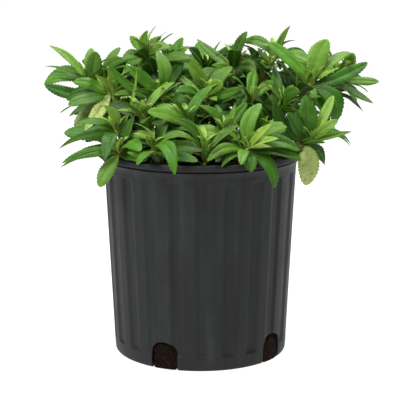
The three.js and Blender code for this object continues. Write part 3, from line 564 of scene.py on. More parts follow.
# Leaves that the solids leave out, by shoot: distance below the shoot's tip, leaf tip, width, arch, and
# kind where it isn't an ordinary green one. The tips were read from the picture, through its camera.
extraLeaves = {
    "left_middle": ((0, (-82.2, -20, 227.3), 5, 0.06, "young"), (3, (-89.3, -38, 184.8), 12, 0.0, "faded")),
    "left_high": ((6, (-124.5, 10, 229.4), 2.6, 0.16),
                  (8, (-121.6, 6, 223.1), 2.4, 0.12)),
    "front_right": ((1, (58.0, -88, 187.1), 8, 0.1, "young"), (0, (53.0, -84, 197.3), 7.5, 0.08, "young"),
                    (2, (53.3, -82, 179.8), 4, 0.1, "faded")),
    "back_middle": ((1, (16.8, 36, 247.8), 2.6, 0.2),
                    (2, (25.0, 34, 245.1), 2.4, 0.26)),
    "top_middle": ((1, (39.6, 18, 238.2), 2.4, 0.3, "dry"), (2, (51.6, 18, 243.1), 3.2, 0.04)),
    "top_left": ((1, (-26.9, 2, 246.2), 2, 0.3, "dry"),),
    "low_middle": ((9, (-7.4, -72, 174.2), 2.4, 0.1, "dry"),),
    "front_left": ((8, (-11.5, -76, 168.5), 2.4, 0.1, "dry"),),
    "right_low": ((8, (63.7, -58, 170.3), 4, 0.15, "dry"), (7, (96.6, -42, 158.8), 5, 0.1)),
    "low_right": ((14, (51.4, -62, 166.3), 4, 0.1, "dry"), (16, (30.0, -66, 167.1), 4, 0.1, "dry"),
                  (4, (27.4, -44, 192.8), 10, 0.06)),
    "inner_right": ((4, (28.7, -18, 216.5), 11, 0.04),
                    (12, (23.9, -24, 203.1), 10, 0.04)),
    "low_left": ((2, (-34.1, -20, 190.7), 10, 0.05),),
    "low_centre": ((5, (-29.7, -6, 187.8), 10, 0.04),),
    "left_back": ((6, (-59.6, 26, 232.1), 10, 0.05),
                  (12, (-58.0, 22, 204.1), 10, 0.05), (9, (-62.3, 30, 227.6), 10, 0.0)),
    "left_rim": ((3, (-106.5, -64, 160.5), 5, 0.22),),
    "left_low": ((4, (-109.5, -40, 171.0), 6, 0.2),),
    "front_middle": ((7, (35.1, -38, 214.4), 12, 0.0),),
    "right_inner": ((5, (24.7, -22, 206.0), 13, 0.0), (3, (58.1, -6, 231.6), 10, 0.0)),
    "centre_left": ((9, (-38.6, 6, 230.3), 11, 0.0),),
}
paleStalks = {
    "shoot": "right_inner", "across": (54.5, 57.6, 61.0, 64.2), "foot": (-31, 147), "top": (-27, 180),
    "radius": 0.8, "sides": 7, "steps": 6, "sway": 0.5,
}

# Foliage
leafSizes = {
    "seed": 20251, "rootDepth": 2, "pairSpacing": 8, "outwardShare": 0.7, "viewer": (0, -1, 0.8),
    "matchWithin": 0.05, "slimListed": 0.94, "slimOther": 0.85, "slender": 0.46, "broad": 0.56,
    # teeth, in mm and as shares of the blade
    "toothSpacing": 2.4, "toothDepth": 1.05, "toothed": (0.15, 0.94), "toothPlace": 0.68,
    "toothless": {"width": 5, "length": 13},
    # columns of points from the midrib to the margin
    "columns": (0, 0.1, 0.32, 0.58, 0.83, 1), "fewColumns": (0, 0.12, 0.55, 1), "fewBelow": 7,
    # relief and thickness in mm
    "veinSpacing": 4.8, "veinSlant": 1.6, "pucker": 0.3, "keel": 0.42, "thick": 0.19, "edgeThick": 0.07,
    "petiole": 0.85, "petioleShare": 0.3, "stalkThick": 0.25, "least": 0.06,
    # how one blade differs from the next: radians, waves, and shares of its width or length
    "twist": 2 * math.radians(8), "waves": (1.5, 3.5), "wave": (0.035, 0.085), "recurve": (0.10, 0.32),
    "sway": 0.05, "hook": (0.02, 0.07),
}
stemSizes = {
    "foot": 138, "straight": 20, "ringSpacing": 17, "radiusFoot": 1.55, "radiusTip": 0.95, "sides": 10,
    "node": 0.5, "nodeReach": 1.4, "ridge": 0.07, "step": 2.5, "greenLength": 30, "mixLevel": 150,
}
# The small growth that the solids leave out. Spans are (least, most) and are drawn for each leaf.
smallGrowth = {
    "tip": {"pairs": 3, "swing": 30, "rise": (30, 46), "length": (0.75, 1.25), "width": (0.8, 1.2),
            "arch": (0.05, 0.17), "roll": (-10, 10), "fold": (30, 44)},
    "narrow": {"count": 7, "down": (3, 23), "rise": (20, 65), "length": (13, 30), "width": (3, 6.5),
               "arch": (0.04, 0.18), "roll": (-25, 25), "fold": (24, 40), "youth": (0.15, 0.75)},
    "withered": {"count": 2, "above": 156, "rise": (-9.6, 14.4), "length": (11, 20), "width": (3, 6),
                 "arch": (0, 0.25), "roll": (-30, 30), "fold": 40},
    "axil": {"share": 0.75, "below": 4, "rise": (52, 72), "length": (7, 16), "width": (3, 5.5),
             "swing": 50, "fold": 28, "youth": 0.45},
}


def stemPoint(shoot, share):
    root, tip = shoot[1], shoot[2]
    rise = tip[2] - stemSizes["foot"]
    straight = stemSizes["straight"] / rise
    lean = max(0, (share - straight) / (1 - straight))
    lean *= 0.45 + 0.55 * lean
    return Vector((root[0] + (tip[0] - root[0]) * lean, root[1] + (tip[1] - root[1]) * lean,
                   stemSizes["foot"] + rise * share))


def placeDown(shoot, distance):
    # the middle of the stem at a distance down from its tip, along the straight runs between rings
    rise = shoot[2][2] - stemSizes["foot"]
    steps = max(2, int(rise / stemSizes["ringSpacing"] + 0.5))
    left = distance
    top = stemPoint(shoot, 1)
    for i in range(steps - 1, 0, -1):
        below = stemPoint(shoot, i / steps)
        run = (below - top).length
        if left <= run:
            return top.lerp(below, left / run)
        left -= run
        top = below
    return top


def leafSpec(draw, face, down, bearing, rise, length, width, arch):
    roll = (draw() - 0.5) * 30
    fold = (26 if width < 7 else 14) + (draw() - 0.5) * 12
    return {"face": face, "down": down, "bearing": bearing, "rise": rise, "length": length, "width": width,
            "arch": arch, "roll": roll, "fold": fold,
            "broadest": leafSizes["broad"] if width > 9 else leafSizes["slender"]}


def leafSpecs(shoot, index):
    # every leaf of a shoot, drawn in the same order as in the solids
    root, tip, turn, start, pairs, leaves, inner = shoot[1:]
    viewer = Vector(leafSizes["viewer"])
    draw = makeRepeatable(leafSizes["seed"] + 97 * index)
    draw()
    specs = [dict(leafSpec(draw, viewer, *leaf), place=place) for place, leaf in enumerate(leaves)]
    leanX, leanY = tip[0] - root[0], tip[1] - root[1]
    lean = 0.9 * math.atan2(math.hypot(leanX, leanY), tip[2] - stemSizes["mixLevel"])
    leanBearing = math.atan2(leanY, leanX)
    face = Vector((leanX, leanY, 0)).normalized() * leafSizes["outwardShare"]
    face.z = 1
    for pair in range(pairs):
        down = start + leafSizes["pairSpacing"] * pair
        for opposite in (0, 180):
            bearing = turn + 90 * pair + opposite + (draw() - 0.5) * 40
            droop = math.degrees(lean * math.cos(math.radians(bearing) - leanBearing))
            rise = 46 - 1.4 * down - droop + (draw() - 0.5) * 20
            length = 28 + 0.45 * down + draw() * 8
            width = 10 + 0.12 * down + draw() * 2
            arch = 0.06 + draw() * 0.12
            specs.append(leafSpec(draw, face, down, bearing, rise, length, width, arch))
    return specs + [leafSpec(draw, viewer, *leaf[:3], *innerBlades["short" if leaf[3:] else "long"])
                    for leaf in inner]


def laidOut(base, spec, bend=(0, 0), shortening=1):
    # a leaf's axes in space, from its bearing and rise and the way that it faces
    bearing = math.radians(spec["bearing"] + bend[0])
    rise = math.radians(max(-80, min(86, spec["rise"] + bend[1])))
    along = Vector((math.cos(rise) * math.cos(bearing), math.cos(rise) * math.sin(bearing), math.sin(rise)))
    square = along.cross(Vector((-math.sin(bearing), math.cos(bearing), 0)))
    side = spec["face"].cross(along).normalized()
    roll = math.radians(spec["roll"])
    side = side * math.cos(roll) + along.cross(side) * math.sin(roll)
    return dict(spec, base=base, along=along, side=side, up=along.cross(side), square=square,
                length=spec["length"] * shortening, fold=math.radians(spec["fold"]))


def leafTowards(shoot, down, tip, width, arch):
    # a leaf laid straight from its place on the stem to its tip
    base = placeDown(shoot, down)
    along = Vector(tip) - base
    length = along.length
    along.normalize()
    side = Vector(leafSizes["viewer"]).cross(along).normalized()
    up = along.cross(side)
    return {"base": base, "along": along, "side": side, "up": up, "square": up, "length": length,
            "width": width, "arch": arch, "fold": math.radians(26), "broadest": leafSizes["slender"]}


bends = [(turn, lift) for turn in range(-45, 46, 9) for lift in range(-27, 28, 9)]
bends.sort(key=lambda bend: abs(bend[0]) + abs(bend[1]))


def placedLeaves(shoot, index):
    # each leaf as the solid has it: the first bend and length whose tip is a corner of the node
    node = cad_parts["shoot_" + shoot[0]]
    corners = KDTree(len(node.data.vertices))
    for i, vertex in enumerate(node.data.vertices):
        corners.insert(vertex.co, i)
    corners.balance()
    leaves = []
    for spec in leafSpecs(shoot, index):
        base = placeDown(shoot, spec["down"] + leafSizes["rootDepth"])
        tries = (laidOut(base, spec, bend, shortening) for shortening in (1, 0.85, 0.7) for bend in bends)
        for leaf in tries:
            tip = (base + leaf["along"] * leaf["length"]) * mm
            if corners.find(tip)[2] < leafSizes["matchWithin"] * mm:
                leaves.append(leaf)
                break
    return leaves


def smallLeaf(shoot, draw, kind, face, down, bearing, **larger):
    # a leaf of one kind of the small growth; larger raises its rise or scales its other measures
    sizes = smallGrowth[kind]
    spec = {key: between(draw, sizes[key]) for key in ("rise", "length", "width", "arch", "roll", "fold")}
    for key, by in larger.items():
        spec[key] = spec[key] + by if key == "rise" else by * spec[key]
    spec.update(face=face, bearing=bearing, broadest=leafSizes["slender"])
    return laidOut(placeDown(shoot, down), spec)


def smallLeaves(shoot, leaves, draw):
    # young leaves folded round the tip, narrow ones below, and small ones in the axils of the pairs
    tip, narrow, axil = (smallGrowth[kind] for kind in ("tip", "narrow", "axil"))
    ahead = (placeDown(shoot, 0) - placeDown(shoot, 6)).normalized()
    extras = []
    turn = 360 * draw()
    for pair in range(tip["pairs"]):
        for opposite in (0, 180):
            bearing = turn + 90 * pair + opposite + tip["swing"] * (draw() - 0.5)
            leaf = smallLeaf(shoot, draw, "tip", Vector((ahead.x, ahead.y, 1.2)), 1.5 - 0.6 * pair, bearing,
                             rise=14 * pair, length=18 - 4.2 * pair, width=5.6 - 1.1 * pair)
            extras.append((leaf, 0.75 + 0.2 * pair))
    for k in range(narrow["count"]):
        down = between(draw, narrow["down"])
        leaf = smallLeaf(shoot, draw, "narrow", Vector((ahead.x, ahead.y, 1.4)), down, 360 * draw())
        extras.append((leaf, between(draw, narrow["youth"])))
    for leaf in leaves:
        if leaf["down"] > axil["below"] and draw() < axil["share"]:
            rise, length, width = (between(draw, axil[key]) for key in ("rise", "length", "width"))
            spec = dict(leaf, rise=rise, length=length, width=width, fold=axil["fold"],
                        bearing=leaf["bearing"] + axil["swing"] * (draw() - 0.5), arch=0.1 * draw(),
                        broadest=leafSizes["slender"])
            extras.append((laidOut(placeDown(shoot, leaf["down"] + 1.2), spec), axil["youth"]))
    return extras


def widthShares(places, broadest):
    bent = np.power(places, math.log(0.5) / math.log(broadest))
    return np.power(np.clip(np.sin(np.pi * bent), 0, 1), 0.52 if broadest > 0.5 else 0.7)


class Growth:
    # collects the blades and stems of one shoot before they become one mesh
    def __init__(self):
        self.vertices, self.faces, self.kinds = [], [], []
        self.count = 0
        self.fields = {"acrossMm": [], "alongMm": [], "tone": [], "youth": [], "fade": []}

    def add(self, points, faces, kinds, **fields):
        self.vertices.append(points)
        self.faces += [tuple(corner + self.count for corner in face) for face in faces]
        self.kinds += kinds
        for key, parts in self.fields.items():
            parts.append(np.broadcast_to(fields[key], (len(points),)))
        self.count += len(points)

    def piece(self, name, materials):
        vertices = np.concatenate(self.vertices) * mm
        made = makePiece(name, vertices.tolist(), self.faces, materials, self.kinds)
        for key, parts in self.fields.items():
            attribute = made.data.attributes.new(key, "FLOAT", "POINT")
            attribute.data.foreach_set("value", np.concatenate(parts).astype(np.float32))
        return made


def leafRows(length, width):
    # places along the blade: plain at the root and the tip, and two for each tooth between
    size = leafSizes
    start, end = size["toothed"]
    teeth = max(3, round(length * (end - start) / size["toothSpacing"]))
    if width < size["toothless"]["width"] or length < size["toothless"]["length"]:
        return np.array([0, 0.03, 0.08, *np.linspace(0.15, 0.9, 8), 0.96, 1]), None
    step = (end - start) / teeth
    middle = [start + step * (i + part) for i in range(teeth) for part in (0, size["toothPlace"])]
    places = [0, 0.02, 0.05, 0.1, *middle, end, 0.975, 1]
    return np.array(places), np.array([0, 0, 0, 0] + [-1, 1] * teeth + [-1, 0, 0])


def growBlade(growth, leaf, draw, tone, youth, materials=(0, 1), fade=0.0):
    # One blade as a thin closed solid: folded at the midrib, toothed, puckered between its side
    # veins, curled back at the margins and a little twisted. materials are the upper and lower face.
    size = leafSizes
    length, width, broadest = leaf["length"], leaf["width"], leaf["broadest"]
    places, tooth = leafRows(length, width)
    rows = len(places)
    steady = width / 2 * widthShares(places, broadest)
    reach = steady
    if tooth is not None:
        deep = size["toothDepth"] * min(1, width / 12) * np.clip(np.sin(np.pi * places), 0, 1) ** 0.3
        reach = reach + np.where(tooth > 0, 0.45 * deep, 0) - np.where(tooth < 0, 0.55 * deep, 0)
    petiole = size["petiole"] * np.clip(1 - places / size["petioleShare"], 0, 1) ** 0.5 * min(1, width / 8)
    reach = np.maximum(np.maximum(reach, petiole), size["least"])
    steady = np.maximum(steady, petiole)
    chosen = size["columns"] if width > size["fewBelow"] else size["fewColumns"]
    columns = np.array([-c for c in reversed(chosen[1:])] + list(chosen))
    count = len(columns)
    edge, sign = np.abs(columns)[None, :], np.sign(columns)[None, :]
    twist = size["twist"] * (draw() - 0.5) * 2
    waves, wavePhase = between(draw, size["waves"]), 6.28 * draw()
    wave = between(draw, size["wave"]) * width
    recurve = between(draw, size["recurve"])
    sway = size["sway"] * (draw() - 0.5) * length
    hook = between(draw, size["hook"]) * length
    side, up, along, square, base = (np.array(leaf[key]) for key in ("side", "up", "along", "square", "base"))
    t = places[:, None]
    bulge = np.sin(np.pi * t)
    turn = twist * (t - 0.4) * np.sin(np.pi * np.minimum(t * 1.05, 1))
    # the outermost column alone carries the teeth
    spread = np.where(edge > 0.99, reach[:, None], np.minimum(steady, reach + 0.5)[:, None] * edge)
    spread = np.minimum(spread, reach[:, None])
    across = spread * sign
    # across the blade: the fold, the margins curled back, the pucker and the waves of the margins
    rise = spread * math.sin(leaf["fold"]) * (1.3 - 0.3 * edge) - recurve * steady[:, None] * edge ** 3
    veins = np.cos(2 * np.pi * (length * t - size["veinSlant"] * spread) / size["veinSpacing"])
    rise += size["pucker"] * min(1, width / 11) * veins * np.sin(np.pi * edge) ** 0.8 * bulge ** 0.5
    rise += wave * np.sin(waves * np.pi * t + wavePhase + 1.5 * sign) * edge ** 2 * bulge
    flat = across * math.cos(leaf["fold"])
    moved = flat * np.cos(turn) - rise * np.sin(turn)
    lifted = flat * np.sin(turn) + rise * np.cos(turn)
    # along the blade: its arch, a hooked tip and a sideways sway
    bow = (4 * leaf["arch"] * length + 2.2 * hook * t) * t * (1 - t)
    middle = base + along * (length * t[..., None]) + square * bow[..., None] \
        + side * (4 * sway * t * (1 - t))[..., None]
    surface = middle + side * moved[..., None] + up * lifted[..., None]
    body = np.sin(np.pi * np.clip(0.08 + 0.9 * t, 0, 1)) ** 0.4
    thick = size["edgeThick"] + (size["thick"] - size["edgeThick"]) * (1 - edge ** 2) * body
    stalk = np.clip(1 - t / 0.16, 0, 1)
    rib = np.where(edge < 0.01, 1.0, np.where(edge < 0.13, 0.42, 0.0))
    keel = size["keel"] * rib * (1 - 0.8 * t) * min(1, width / 8)
    upper = surface + up * (thick + size["stalkThick"] * stalk - 0.25 * keel * (1 - stalk))[..., None]
    lower = surface - up * (thick + 1.2 * size["stalkThick"] * stalk + keel)[..., None]
    # two skins of quads, joined by a strip round the margin
    half = rows * count
    faces, kinds = [], []
    for i in range(rows - 1):
        for a in range(i * count, (i + 1) * count - 1):
            b, c, d = a + 1, a + count + 1, a + count
            faces += [(a, b, c, d), (half + d, half + c, half + b, half + a)]
            kinds += materials
        a = i * count
        faces.append((a, a + count, half + a + count, half + a))
        a += count - 1
        faces.append((a + count, a, half + a, half + a + count))
        kinds += [materials[1]] * 2
    for a in range(count - 1):
        b, last = a + 1, half - count + a
        faces += [(b, a, half + a, half + b), (last, last + 1, half + last + 1, half + last)]
        kinds += [materials[1]] * 2
    growth.add(np.concatenate([upper.reshape(-1, 3), lower.reshape(-1, 3)]), faces, kinds,
               acrossMm=np.tile(np.abs(across).reshape(-1), 2),
               alongMm=np.tile(np.repeat(length * places, count), 2), tone=tone, youth=youth, fade=fade)


def growTube(growth, rings, sides, material, ridge=0.0, **fields):
    # a stem or stalk through rings of (middle, direction, radius), closed at both ends; a ridge makes
    # it a little wider on two sides
    points = []
    for middle, ahead, radius in rings:
        level = ahead.cross(Vector((0, 1, 0))).normalized()
        other = ahead.cross(level)
        for angle in (2 * math.pi * k / sides for k in range(sides)):
            out = level * math.cos(angle) + other * math.sin(angle)
            points.append(tuple(middle + out * radius * (1 + ridge * math.cos(2 * angle))))
    faces = closedTube(len(rings), sides, reverse=True)
    growth.add(np.array(points), faces, [material] * len(faces), acrossMm=2.0, **fields)


def growStalk(growth, start, end, material):
    size = paleStalks
    start, end = Vector(start), Vector(end)
    ahead = (end - start).normalized()
    level = ahead.cross(Vector((0, 1, 0))).normalized()
    rings = [(start.lerp(end, share) + level * (size["sway"] * math.sin(3.1 * share)), ahead, size["radius"])
             for share in (i / size["steps"] for i in range(size["steps"] + 1))]
    growTube(growth, rings, size["sides"], material, alongMm=12.0, tone=0.6, youth=0.6, fade=1.0)


def growStem(growth, shoot, leaves, material):
    # it tapers, with a swelling at each pair of leaves
    size = stemSizes
    rise = shoot[2][2] - size["foot"]
    steps = max(6, int(rise / size["step"]))
    nodes = {round(leaf["down"] + leafSizes["rootDepth"]) for leaf in leaves}
    rings, alongMm = [], []
    for share in (i / steps for i in range(steps + 1)):
        ahead = (stemPoint(shoot, min(1, share + 0.02)) - stemPoint(shoot, max(0, share - 0.02))).normalized()
        down = rise * (1 - share)
        radius = size["radiusFoot"] + (size["radiusTip"] - size["radiusFoot"]) * share
        radius += sum(size["node"] * math.exp(-((down - node) / size["nodeReach"]) ** 2) for node in nodes)
        rings.append((stemPoint(shoot, share), ahead, radius * (0.5 if share == 1 else 1)))
        alongMm += [down] * size["sides"]
    youth = np.maximum(0, 1 - np.array(alongMm) / size["greenLength"])
    growTube(growth, rings, size["sides"], material, size["ridge"], alongMm=alongMm, tone=0.5, youth=youth,
             fade=0.0)


def freshLeafMaterial(name, look):
    # A speedwell leaf: thin and slightly leathery, with a soft wax sheen. Light comes through it, the
    # midrib and side veins are paler, and the blade between them is finely mottled. The real net of
    # small veins is about half as coarse as the one drawn, which would not show.
    material, tree, place = newMaterial(name)
    read = {key: addNode(tree, "Attribute", {"attribute_name": key, "attribute_type": "GEOMETRY"})
            for key in ("acrossMm", "alongMm", "tone", "youth", "fade")}

    slanted = addNode(tree, "Math", {"operation": "MULTIPLY"}, {
        0: (read["acrossMm"], "Fac"), 1: leafSizes["veinSlant"]})
    run = addNode(tree, "Math", {"operation": "SUBTRACT"}, {0: (read["alongMm"], "Fac"), 1: slanted})
    cells = addNode(tree, "Math", {"operation": "DIVIDE"}, {0: run, 1: leafSizes["veinSpacing"]})
    fraction = addNode(tree, "Math", {"operation": "FRACT"}, {0: cells})
    centred = addNode(tree, "Math", {"operation": "SUBTRACT"}, {0: fraction, 1: 0.5})
    apart = addNode(tree, "Math", {"operation": "ABSOLUTE"}, {0: centred})
    smooth = {"interpolation_type": "SMOOTHSTEP"}
    sideVein = addNode(tree, "MapRange", smooth, {
        "Value": apart, "From Min": 0.0, "From Max": look["veinMm"] / leafSizes["veinSpacing"],
        "To Min": look["sideVein"], "To Max": 0.0})
    midrib = addNode(tree, "MapRange", smooth, {
        "Value": (read["acrossMm"], "Fac"), "From Min": 0.18, "From Max": look["midribMm"],
        "To Min": look["midrib"], "To Max": 0.0})
    veins = addNode(tree, "Math", {"operation": "MAXIMUM"}, {0: sideVein, 1: midrib})
    mottle = addNode(tree, "TexNoise", inputs=marks(place, look["mottleMm"], Detail=4.0, Roughness=0.6))
    cellular = addNode(tree, "TexVoronoi", {"feature": "DISTANCE_TO_EDGE"}, marks(place, look["netMm"]))
    net = addNode(tree, "MapRange", inputs={
        "Value": cellular, "From Min": 0.0, "From Max": 0.12, "To Min": look["net"], "To Max": 0.0})
    spread = addNode(tree, "Math", {"operation": "MULTIPLY_ADD"}, {
        0: mottle, 1: look["mottle"], 2: -0.5 * look["mottle"]})
    level = addNode(tree, "Math", {"operation": "ADD"}, {0: (read["tone"], "Fac"), 1: spread})
    mature = addNode(tree, "ValToRGB", inputs={0: level}, stops=look["mature"])
    young = addNode(tree, "ValToRGB", inputs={0: level}, stops=look["young"])
    rgba = {"data_type": "RGBA"}
    blade = addNode(tree, "Mix", rgba, {0: (read["youth"], "Fac"), 6: mature, 7: young})
    flush = addNode(tree, "MapRange", smooth, {
        "Value": (read["alongMm"], "Fac"), "From Min": 1.0, "From Max": look["flushMm"],
        "To Min": look["flush"], "To Max": 0.0})
    reddened = addNode(tree, "Mix", rgba, {0: flush, 6: (blade, 2), 7: linearColour(look["red"])})
    blotches = addNode(tree, "TexNoise", inputs=marks(place, look["blotchMm"], Detail=3.0, Roughness=0.7))
    faded = addNode(tree, "ValToRGB", inputs={0: blotches}, stops=look["faded"])
    old = addNode(tree, "Mix", rgba, {0: (read["fade"], "Fac"), 6: (reddened, 2), 7: faded})
    lines = addNode(tree, "Math", {"operation": "MAXIMUM"}, {0: veins, 1: net})
    colour = addNode(tree, "Mix", rgba, {0: lines, 6: (old, 2), 7: linearColour(look["vein"])})
    glow = addNode(tree, "Mix", dict(rgba, blend_type="MULTIPLY"), {
        0: 1.0, 6: (colour, 2), 7: linearColour(look["through"])})
    relief = addNode(tree, "Math", {"operation": "ADD"}, {0: veins, 1: net})
    height = addNode(tree, "Math", {"operation": "MULTIPLY"}, {0: relief, 1: look["relief"]})
    rough = addNode(tree, "Math", {"operation": "MULTIPLY_ADD"}, {
        0: mottle, 1: 0.16, 2: look["roughness"] - 0.08})
    bump = addNode(tree, "Bump", inputs={
        "Strength": look["bump"], "Distance": look["bumpMm"] * mm, "Height": height})
    skin = addNode(tree, "BsdfPrincipled", inputs={
        "Base Color": (colour, 2), "Roughness": rough, "IOR": look["ior"], "Normal": bump,
        "Specular IOR Level": look["specular"]})
    through = addNode(tree, "BsdfTranslucent", inputs={"Color": (glow, 2), "Normal": bump})
    blend = addNode(tree, "MixShader", inputs={0: look["passes"], 1: skin, 2: through})
    addNode(tree, "OutputMaterial", inputs={"Surface": blend})
    return material


upperLook = {
    "mature": [(0.0, "#0d3401"), (0.35, "#265a04"), (0.65, "#447c12"), (1.0, "#72a436")],
    "young": [(0.0, "#5f8a1e"), (0.5, "#86ac3a"), (1.0, "#aecb62")],
    "faded": [(0.0, "#b4c278"), (0.54, "#a6b868"), (0.62, "#8c8a48"), (0.7, "#6e5226")],
    "vein": "#86a848", "red": "#7d4a26", "through": "#d8f06a", "veinMm": 0.4, "midribMm": 0.5,
    "sideVein": 0.14, "midrib": 0.2, "mottleMm": 7, "mottle": 0.6, "netMm": 1.1, "net": 0.06,
    "blotchMm": 2.6, "flushMm": 6.0, "flush": 0.5, "relief": -1.0, "bump": 0.55, "bumpMm": 0.3,
    "roughness": 0.5, "ior": 1.45, "specular": 0.38, "passes": 0.12,
}
underLook = dict(
    upperLook, mature=[(0.0, "#2f5a0c"), (0.5, "#50801c"), (1.0, "#84aa40")],
    young=[(0.0, "#7aa432"), (1.0, "#acce5c")], vein="#a8c468", veinMm=0.5, midribMm=0.8, sideVein=0.2,
    midrib=0.42, mottleMm=6, mottle=0.3, net=0.08, flush=0.45, relief=1.0, roughness=0.6, specular=0.2,
    passes=0.16)


# A soft green stem: smooth and slightly ribbed, flushed reddish brown where it is older.
stemLook = {
    "stops": [(0.2, "#4a2c1a"), (0.5, "#7c4426"), (1.0, "#86a044")], "patchMm": 3, "noise": {"Detail": 4.0},
    "youthOver": 0.5, "roughness": 0.5, "ior": 1.42, "specular": 0.5, "bump": 0.4, "bumpMm": 0.4,
}
# A withered leaf: papery, mid brown, with darker blotches and no gloss.
witheredLook = {
    "stops": [(0.3, "#282416"), (0.5, "#4b4226"), (0.72, "#8c845c")], "patchMm": 4,
    "noise": {"Detail": 5.0, "Roughness": 0.65}, "roughness": 0.8, "ior": 1.4, "specular": 0.5,
    "bump": 0.7, "bumpMm": 0.5,
}


shadeSizes = {
    "seed": 9001, "youngLength": 7, "shortest": 10, "longer": 26, "lowest": 0.26, "spread": 0.5,
    # painted shade: leaves further down the stem are darkened for age and also to paint the shade deep inside
    # the mat
    "darkerDownAgeAndShade": 0.02,
}


def growListed(growth, shoot, leaves, draw):
    # the leaves that the solid has too, lime near the tip and darker further down, partly because older
    # leaves are darker and partly as painted shade for the deep shade inside the mat
    size = shadeSizes
    for leaf in leaves:
        youth = max(0, 1 - leaf["down"] / size["youngLength"])
        youth *= max(0, 1 - (leaf["length"] - size["shortest"]) / size["longer"])
        youth = max(youth * between(draw, (0.4, 1.0)), 0.75 * max(0, draw() - 0.55))
        # painted shade: the tone drops with distance down the stem, down to the darkest green, for the shade
        # deep in the mat as well as for older leaves
        tone = size["lowest"] + size["spread"] * draw() - size["darkerDownAgeAndShade"] * leaf["down"]
        place = leaf.get("place", -1)
        youth = limeLeaves.get(shoot[0], {}).get(place, youth)
        fade = fadedLeaves.get(shoot[0], {}).get(place, 0.0)
        leaf["width"] *= leafSizes["slimListed"] if place >= 0 else leafSizes["slimOther"]
        growBlade(growth, leaf, draw, tone, youth, fade=fade)


def growExtras(growth, shoot, draw):
    # small leaves and stalks that the picture shows, and withered leaves low on the stem
    upperUnder, dried = (0, 1), (3, 3)
    for down, tip, width, arch, *kind in extraLeaves.get(shoot[0], ()):
        youth = 1.0 if "young" in kind else 0.1
        growBlade(growth, leafTowards(shoot, down, tip, width, arch), draw, 0.25 + 0.35 * youth, youth,
                  dried if "dry" in kind else upperUnder, float("faded" in kind))
    if shoot[0] == paleStalks["shoot"]:
        (footY, footZ), (topY, topZ) = paleStalks["foot"], paleStalks["top"]
        for x in paleStalks["across"]:
            growStalk(growth, (x, footY + 3 * draw(), footZ), (x + 1.5 * draw(), topY, topZ), 1)
    for k in range(smallGrowth["withered"]["count"]):
        down = shoot[2][2] - smallGrowth["withered"]["above"] + 3 * draw()
        leaf = smallLeaf(shoot, draw, "withered", Vector((0.3, -0.5, 1)), down, 360 * draw())
        growBlade(growth, leaf, draw, 0.5, 0.0, dried)


def buildShoot(shoot, index, materials):
    # materials are the upper face, the under face, the stem and the withered leaf
    growth = Growth()
    draw = makeRepeatable(shadeSizes["seed"] + 131 * index)
    draw()
    leaves = placedLeaves(shoot, index)
    growListed(growth, shoot, leaves, draw)
    growExtras(growth, shoot, draw)
    for leaf, youth in smallLeaves(shoot, leaves, draw):
        growBlade(growth, leaf, draw, between(draw, (0.4, 0.9)), youth)
    growStem(growth, shoot, leaves, 2)
    piece = growth.piece("foliage_" + shoot[0], materials)
    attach(piece, "root")
    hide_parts("shoot_" + shoot[0])
    return len(leaves), len(piece.data.polygons)


# Camera and light
viewSizes = {
    "place": (0, -1.0996, 0.3532), "tilt": math.pi / 2 - 0.207, "sensor": 36, "lens": 124.875,
    "shift": -0.37 / 400,
}
studioSizes = {
    "front": 0.16, "back": 0.4, "turn": (-0.1, 0.7), "floor": 30, "floorGlow": 0.94, "paper": "#8c8c8c",
    "target": (0, 0, 0.16),
    "softboxes": (
        ("key", (-0.72, -0.74, 1.12), (0.4, 0.4), 16),
        ("top", (0.15, 0.0, 1.35), (0.5, 0.5), 17),
        ("strip", (0.95, 0.55, 0.45), (0.2, 0.9), 2),
    ),
}


def setCamera():
    camera = bpy.data.objects.new("camera", bpy.data.cameras.new("camera"))
    scene.collection.objects.link(camera)
    camera.location = viewSizes["place"]
    camera.rotation_euler = (viewSizes["tilt"], 0, 0)
    camera.data.sensor_width = viewSizes["sensor"]
    camera.data.lens = viewSizes["lens"]
    camera.data.shift_x = viewSizes["shift"]
    scene.camera = camera


def addSoftbox(name, place, size, power):
    light = bpy.data.lights.new(name, "AREA")
    light.shape = "RECTANGLE"
    light.size, light.size_y = size
    light.energy = power
    lamp = bpy.data.objects.new(name, light)
    scene.collection.objects.link(lamp)
    lamp.location = place
    aim = Vector(studioSizes["target"]) - Vector(place)
    lamp.rotation_euler = aim.to_track_quat("-Z", "Y").to_euler()


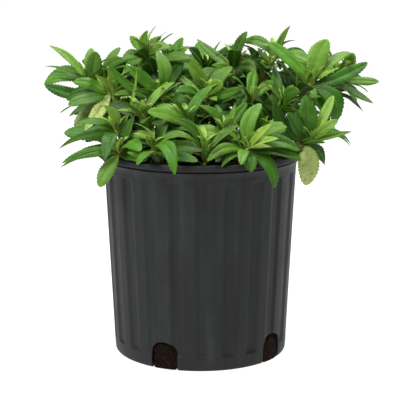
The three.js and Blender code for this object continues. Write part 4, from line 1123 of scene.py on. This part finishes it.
def paperSweep():
    # White paper, matt, lit so evenly that it reads as pure white with no horizon.
    material, tree = newMaterial("white paper sweep")[:2]
    shader = addNode(tree, "BsdfPrincipled", inputs={
        "Base Color": linearColour(studioSizes["paper"]), "Roughness": 1.0,
        "Emission Color": (1.0, 1.0, 1.0, 1.0), "Emission Strength": studioSizes["floorGlow"]})
    addNode(tree, "OutputMaterial", inputs={"Surface": shader})
    return material


def setStudio():
    # a white surround that is brighter behind, a large key above the left, a top light, and a strip
    # behind the right
    size = studioSizes
    world = bpy.data.worlds.new("studio white")
    scene.world = world
    world.use_nodes = True
    tree = world.node_tree
    place = addNode(tree, "TexCoord")
    parts = addNode(tree, "SeparateXYZ", inputs={0: (place, "Generated")})
    level = addNode(tree, "MapRange", {"interpolation_type": "SMOOTHSTEP"}, {
        "Value": (parts, 1), "From Min": size["turn"][0], "From Max": size["turn"][1],
        "To Min": size["front"], "To Max": size["back"]})
    background = tree.nodes["Background"]
    background.inputs[0].default_value = (1.0, 1.0, 1.0, 1.0)
    tree.links.new(level.outputs[0], background.inputs[1])
    for softbox in size["softboxes"]:
        addSoftbox(*softbox)
    reach = size["floor"]
    corners = [(-reach, -reach, 0), (reach, -reach, 0), (reach, reach, 0), (-reach, reach, 0)]
    floor = makePiece("studio_floor", corners, [(0, 1, 2, 3)], [paperSweep()])
    scene.view_settings.view_transform = "Standard"


setCamera()
setStudio()
print("camera and studio ready")

pot = buildPot([mouldedPolyethylene()])
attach(pot, "root")
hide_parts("pot")
print("pot:", len(pot.data.polygons), "faces")

dampBark = patchyMaterial("composted pine bark", compostedBark)
mix = buildMix([dampBark])
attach(mix, "root")
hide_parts("potting_mix")
chips = buildChips([dampBark, patchyMaterial("shredded pine bark", shreddedBark)])
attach(chips, "root")
print("potting mix and bark ready")

leafMaterials = [freshLeafMaterial("fresh leaf, upper face", upperLook),
                 freshLeafMaterial("fresh leaf, under face", underLook),
                 patchyMaterial("green stem, flushed with red", stemLook),
                 patchyMaterial("withered leaf, papery brown", witheredLook)]
totals = np.array([buildShoot(shoot, index, leafMaterials) for index, shoot in enumerate(shoots)])
print("foliage:", totals[:, 0].sum(), "leaves,", totals[:, 1].sum(), "faces")
